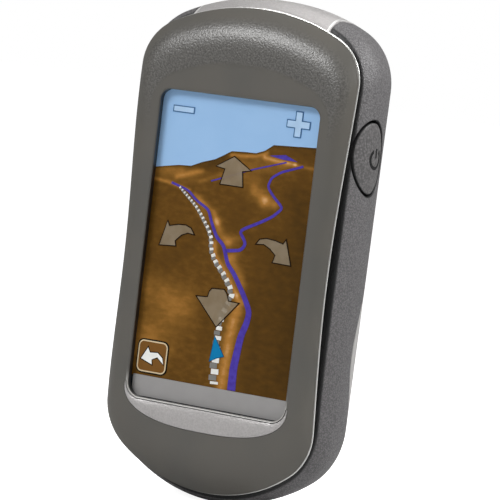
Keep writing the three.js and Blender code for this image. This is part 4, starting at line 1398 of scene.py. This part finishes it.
def controls():
    """The zoom buttons at the top, and the back button at the lower left."""
    minus = [(-17.2, 29.75), (-12.2, 29.75), (-12.2, 30.85), (-17.2, 30.85)]
    made = []
    for outline in (minus, plus_outline(14.05, 30.3, 2.7, 1.4)):
        made += icon("zoom", outline, 0.22, 14, ICON_LINE, ICON_FILL)
    back_button = (
        ((-19.4, -11.4, -29.8, -22, 1.5), NEAR_BLACK),
        ((-19.15, -11.7, -29.5, -22.3, 1.3), CREAM),
        ((-18.85, -12.0, -29.2, -22.6, 1.0), BROWN),
    )
    for level, (box, paint) in enumerate(back_button, start=14):
        made.append(layer("back button", rounded_rectangle(*box), level, paint))
    turn = [
        (-16.7, -23.9), (-18.2, -26.6), (-15.3, -27.6), (-15.5, -26.5), (-14.1, -25.8), (-12.4, -27.2),
        (-12.8, -25.8), (-14.1, -24.8), (-16.1, -25),
    ]
    return made + icon("back arrow", turn, 0.22, 17, NEAR_BLACK, WHITE)


def picture(name, parts):
    """Several parts of the picture as one piece that keeps their materials."""
    materials = list(dict.fromkeys(part.data.materials[0] for part in parts))
    mesh = bmesh.new()
    for part in parts:
        start = len(mesh.faces)
        mesh.from_mesh(part.data)
        mesh.faces.ensure_lookup_table()
        for face in mesh.faces[start:]:
            face.material_index = materials.index(part.data.materials[0])
        bpy.data.objects.remove(part)
    made = object_from_bmesh(name, mesh)
    for material in materials:
        made.data.materials.append(material)
    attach(made, "case")


# ---- build


finish_piece(front_bezel(), BEZEL, "case", "front_bezel", 40)
finish_piece(crescent_insert(), SILVER, "case", "crescent_insert", 50)
finish_piece(trim_ring(), TRIM_SILVER_AND_HIGHLIGHT, "case", "trim_ring", 60)
finish_piece(rubber_band(), BAND, "case", "rubber_band")
finish_piece(top_cap(), SILVER, "case", "top_cap")
finish_piece(top_cap_border("top_cap_border_left", -1), SILVER_EDGE_HIGHLIGHT, "case")
finish_piece(top_cap_border("top_cap_border_right", 1), SILVER_EDGE_HIGHLIGHT, "case")
finish_piece(power_button(), BUTTON_RUBBER, "power_button", "power_button")
finish_piece(power_symbol(), SYMBOL, "power_button")
finish_piece(usb_cap(), CAP_RUBBER, "usb_cap", "usb_cap")
finish_piece(rear_housing(), HOUSING, "case", "rear_housing")
finish_piece(battery_door(), SILVER_DOOR, "battery_door", "battery_door")
finish_piece(latch_lever(), BLACK, "latch_lever", "latch_lever")

# The left cell's button end meets the upper contact, and the right cell's the lower one.
left_foot = BAY_TOP - 0.7 - CELL_LENGTH
right_foot = BAY_BOTTOM + 0.7 + CELL_LENGTH
finish_piece(battery("battery_left", -CELL_X, left_foot, 1), CELL, "case", "battery_left")
finish_piece(battery("battery_right", CELL_X, right_foot, -1), CELL, "case", "battery_right")

sky = [(-EDGE_X, 12), (EDGE_X, 12), (EDGE_X, PICTURE_TOP), (-EDGE_X, PICTURE_TOP)]
picture("screen_picture_sky", [layer("sky", sky, 1, SKY)])
finish_piece(terrain(), GROUND, "case")
picture("screen_picture_routes", routes())
picture("screen_picture_arrows", arrows())
picture("screen_picture_controls", controls())

CAD_FINISHES = (
    (SEAL, ("display_gasket", "case_seal", "door_seal")),
    (STRIP, ("display_lower_strip",)),
    (GLASS, ("touch_panel",)),
    (LCD, ("lcd_panel",)),
    (LIGHT_GUIDE, ("backlight",)),
    (FILM, ("display_cable",)),
    (BLACK, ("front_frame",)),
    (STEEL, ("lcd_tray", "rf_shield", "card_socket", "usb_connector")),
    (CONTACT, ("battery_spring_contact", "battery_flat_contact", "battery_bridge_contact")),
    (BOARD, ("main_board",)),
    (CERAMIC, ("gps_antenna",)),
    (CHIP, ("gps_receiver_chip", "processor", "memory_chip", "beeper", "power_switch")),
    (PLUNGER, ("switch_plunger",)),
    (PIN, ("latch_pin", "case_screw_1", "case_screw_2", "case_screw_3", "case_screw_4")),
    (PIN, ("board_screw_1", "board_screw_2")),
)
for material, nodes in CAD_FINISHES:
    for node in nodes:
        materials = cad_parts[node].data.materials
        materials.clear()
        materials.append(material)

# ---- floor, light and camera


def floor_paint():
    """White paper, lifted towards the backdrop's white where the camera sees it."""
    nodes = Nodes("paper floor")
    seen = nodes.node("LightPath").outputs["Is Camera Ray"]
    nodes.set(Base_Color=srgb(214, 214, 214), Roughness=0.9)
    nodes.set(Emission_Color=(1, 1, 1, 1), Emission_Strength=nodes.math("MULTIPLY", seen, 0.9))
    return nodes.material


def studio_floor():
    mesh = bmesh.new()
    bmesh.ops.create_grid(mesh, x_segments=2, y_segments=2, size=4.0)
    floor = object_from_bmesh("floor", mesh)
    floor.location.z = -0.0002
    floor.data.materials.append(floor_paint())


def area_light(name, position, size, power, shine_only=False):
    """A rectangular light that faces the middle of the unit."""
    lamp = bpy.data.lights.new(name, "AREA")
    lamp.shape = "RECTANGLE"
    lamp.size, lamp.size_y = size
    lamp.energy = power
    obj = add_to_scene(name, lamp)
    obj.location = position
    obj.rotation_euler = (MIDDLE - obj.location).to_track_quat("-Z", "Y").to_euler()
    obj.visible_diffuse = not shine_only


def studio_world():
    """A white backdrop that lights the scene more weakly than it looks."""
    world = bpy.data.worlds.new("studio")
    world.use_nodes = True
    tree = world.node_tree
    backdrop = tree.nodes["Background"]
    backdrop.inputs["Color"].default_value = (1, 1, 1, 1)
    seen = tree.nodes.new("ShaderNodeLightPath").outputs["Is Camera Ray"]
    strength = tree.nodes.new("ShaderNodeMapRange")
    strength.inputs["To Min"].default_value = 0.26  # as a light
    strength.inputs["To Max"].default_value = 1.0  # as a backdrop
    tree.links.new(seen, strength.inputs["Value"])
    tree.links.new(strength.outputs["Result"], backdrop.inputs["Strength"])
    bpy.context.scene.world = world


def studio_camera():
    """A long lens, a little rolled, from the photo's angle."""
    data = bpy.data.cameras.new("camera")
    data.lens = 203.5
    data.sensor_width = 36
    data.clip_start = 0.01
    camera = add_to_scene("camera", data)
    camera.location = (0.2866, -0.5719, 0.1053)
    aim = Vector((0.0058, -0.0153, 0.0584)) - camera.location
    camera.rotation_mode = "QUATERNION"
    camera.rotation_quaternion = aim.to_track_quat("-Z", "Y") @ Quaternion((0, 0, 1), radians(6.81))
    bpy.context.scene.camera = camera


studio_floor()
studio_world()
MIDDLE = Vector((0, 0, 0.06))
area_light("key", (-0.26, -0.52, 0.45), (0.26, 0.26), 2.3)
area_light("key glint", (-0.26, -0.52, 0.45), (0.2, 0.1), 2.6, shine_only=True)
area_light("right", (0.55, -0.05, 0.5), (0.3, 0.3), 0.75)
area_light("near right", (0.2, 0.02, 0.24), (0.1, 0.1), 0.5)
area_light("top", (0.0, 0.15, 0.7), (0.5, 0.4), 0.9)
studio_camera()
bpy.context.scene.view_settings.view_transform = "Standard"
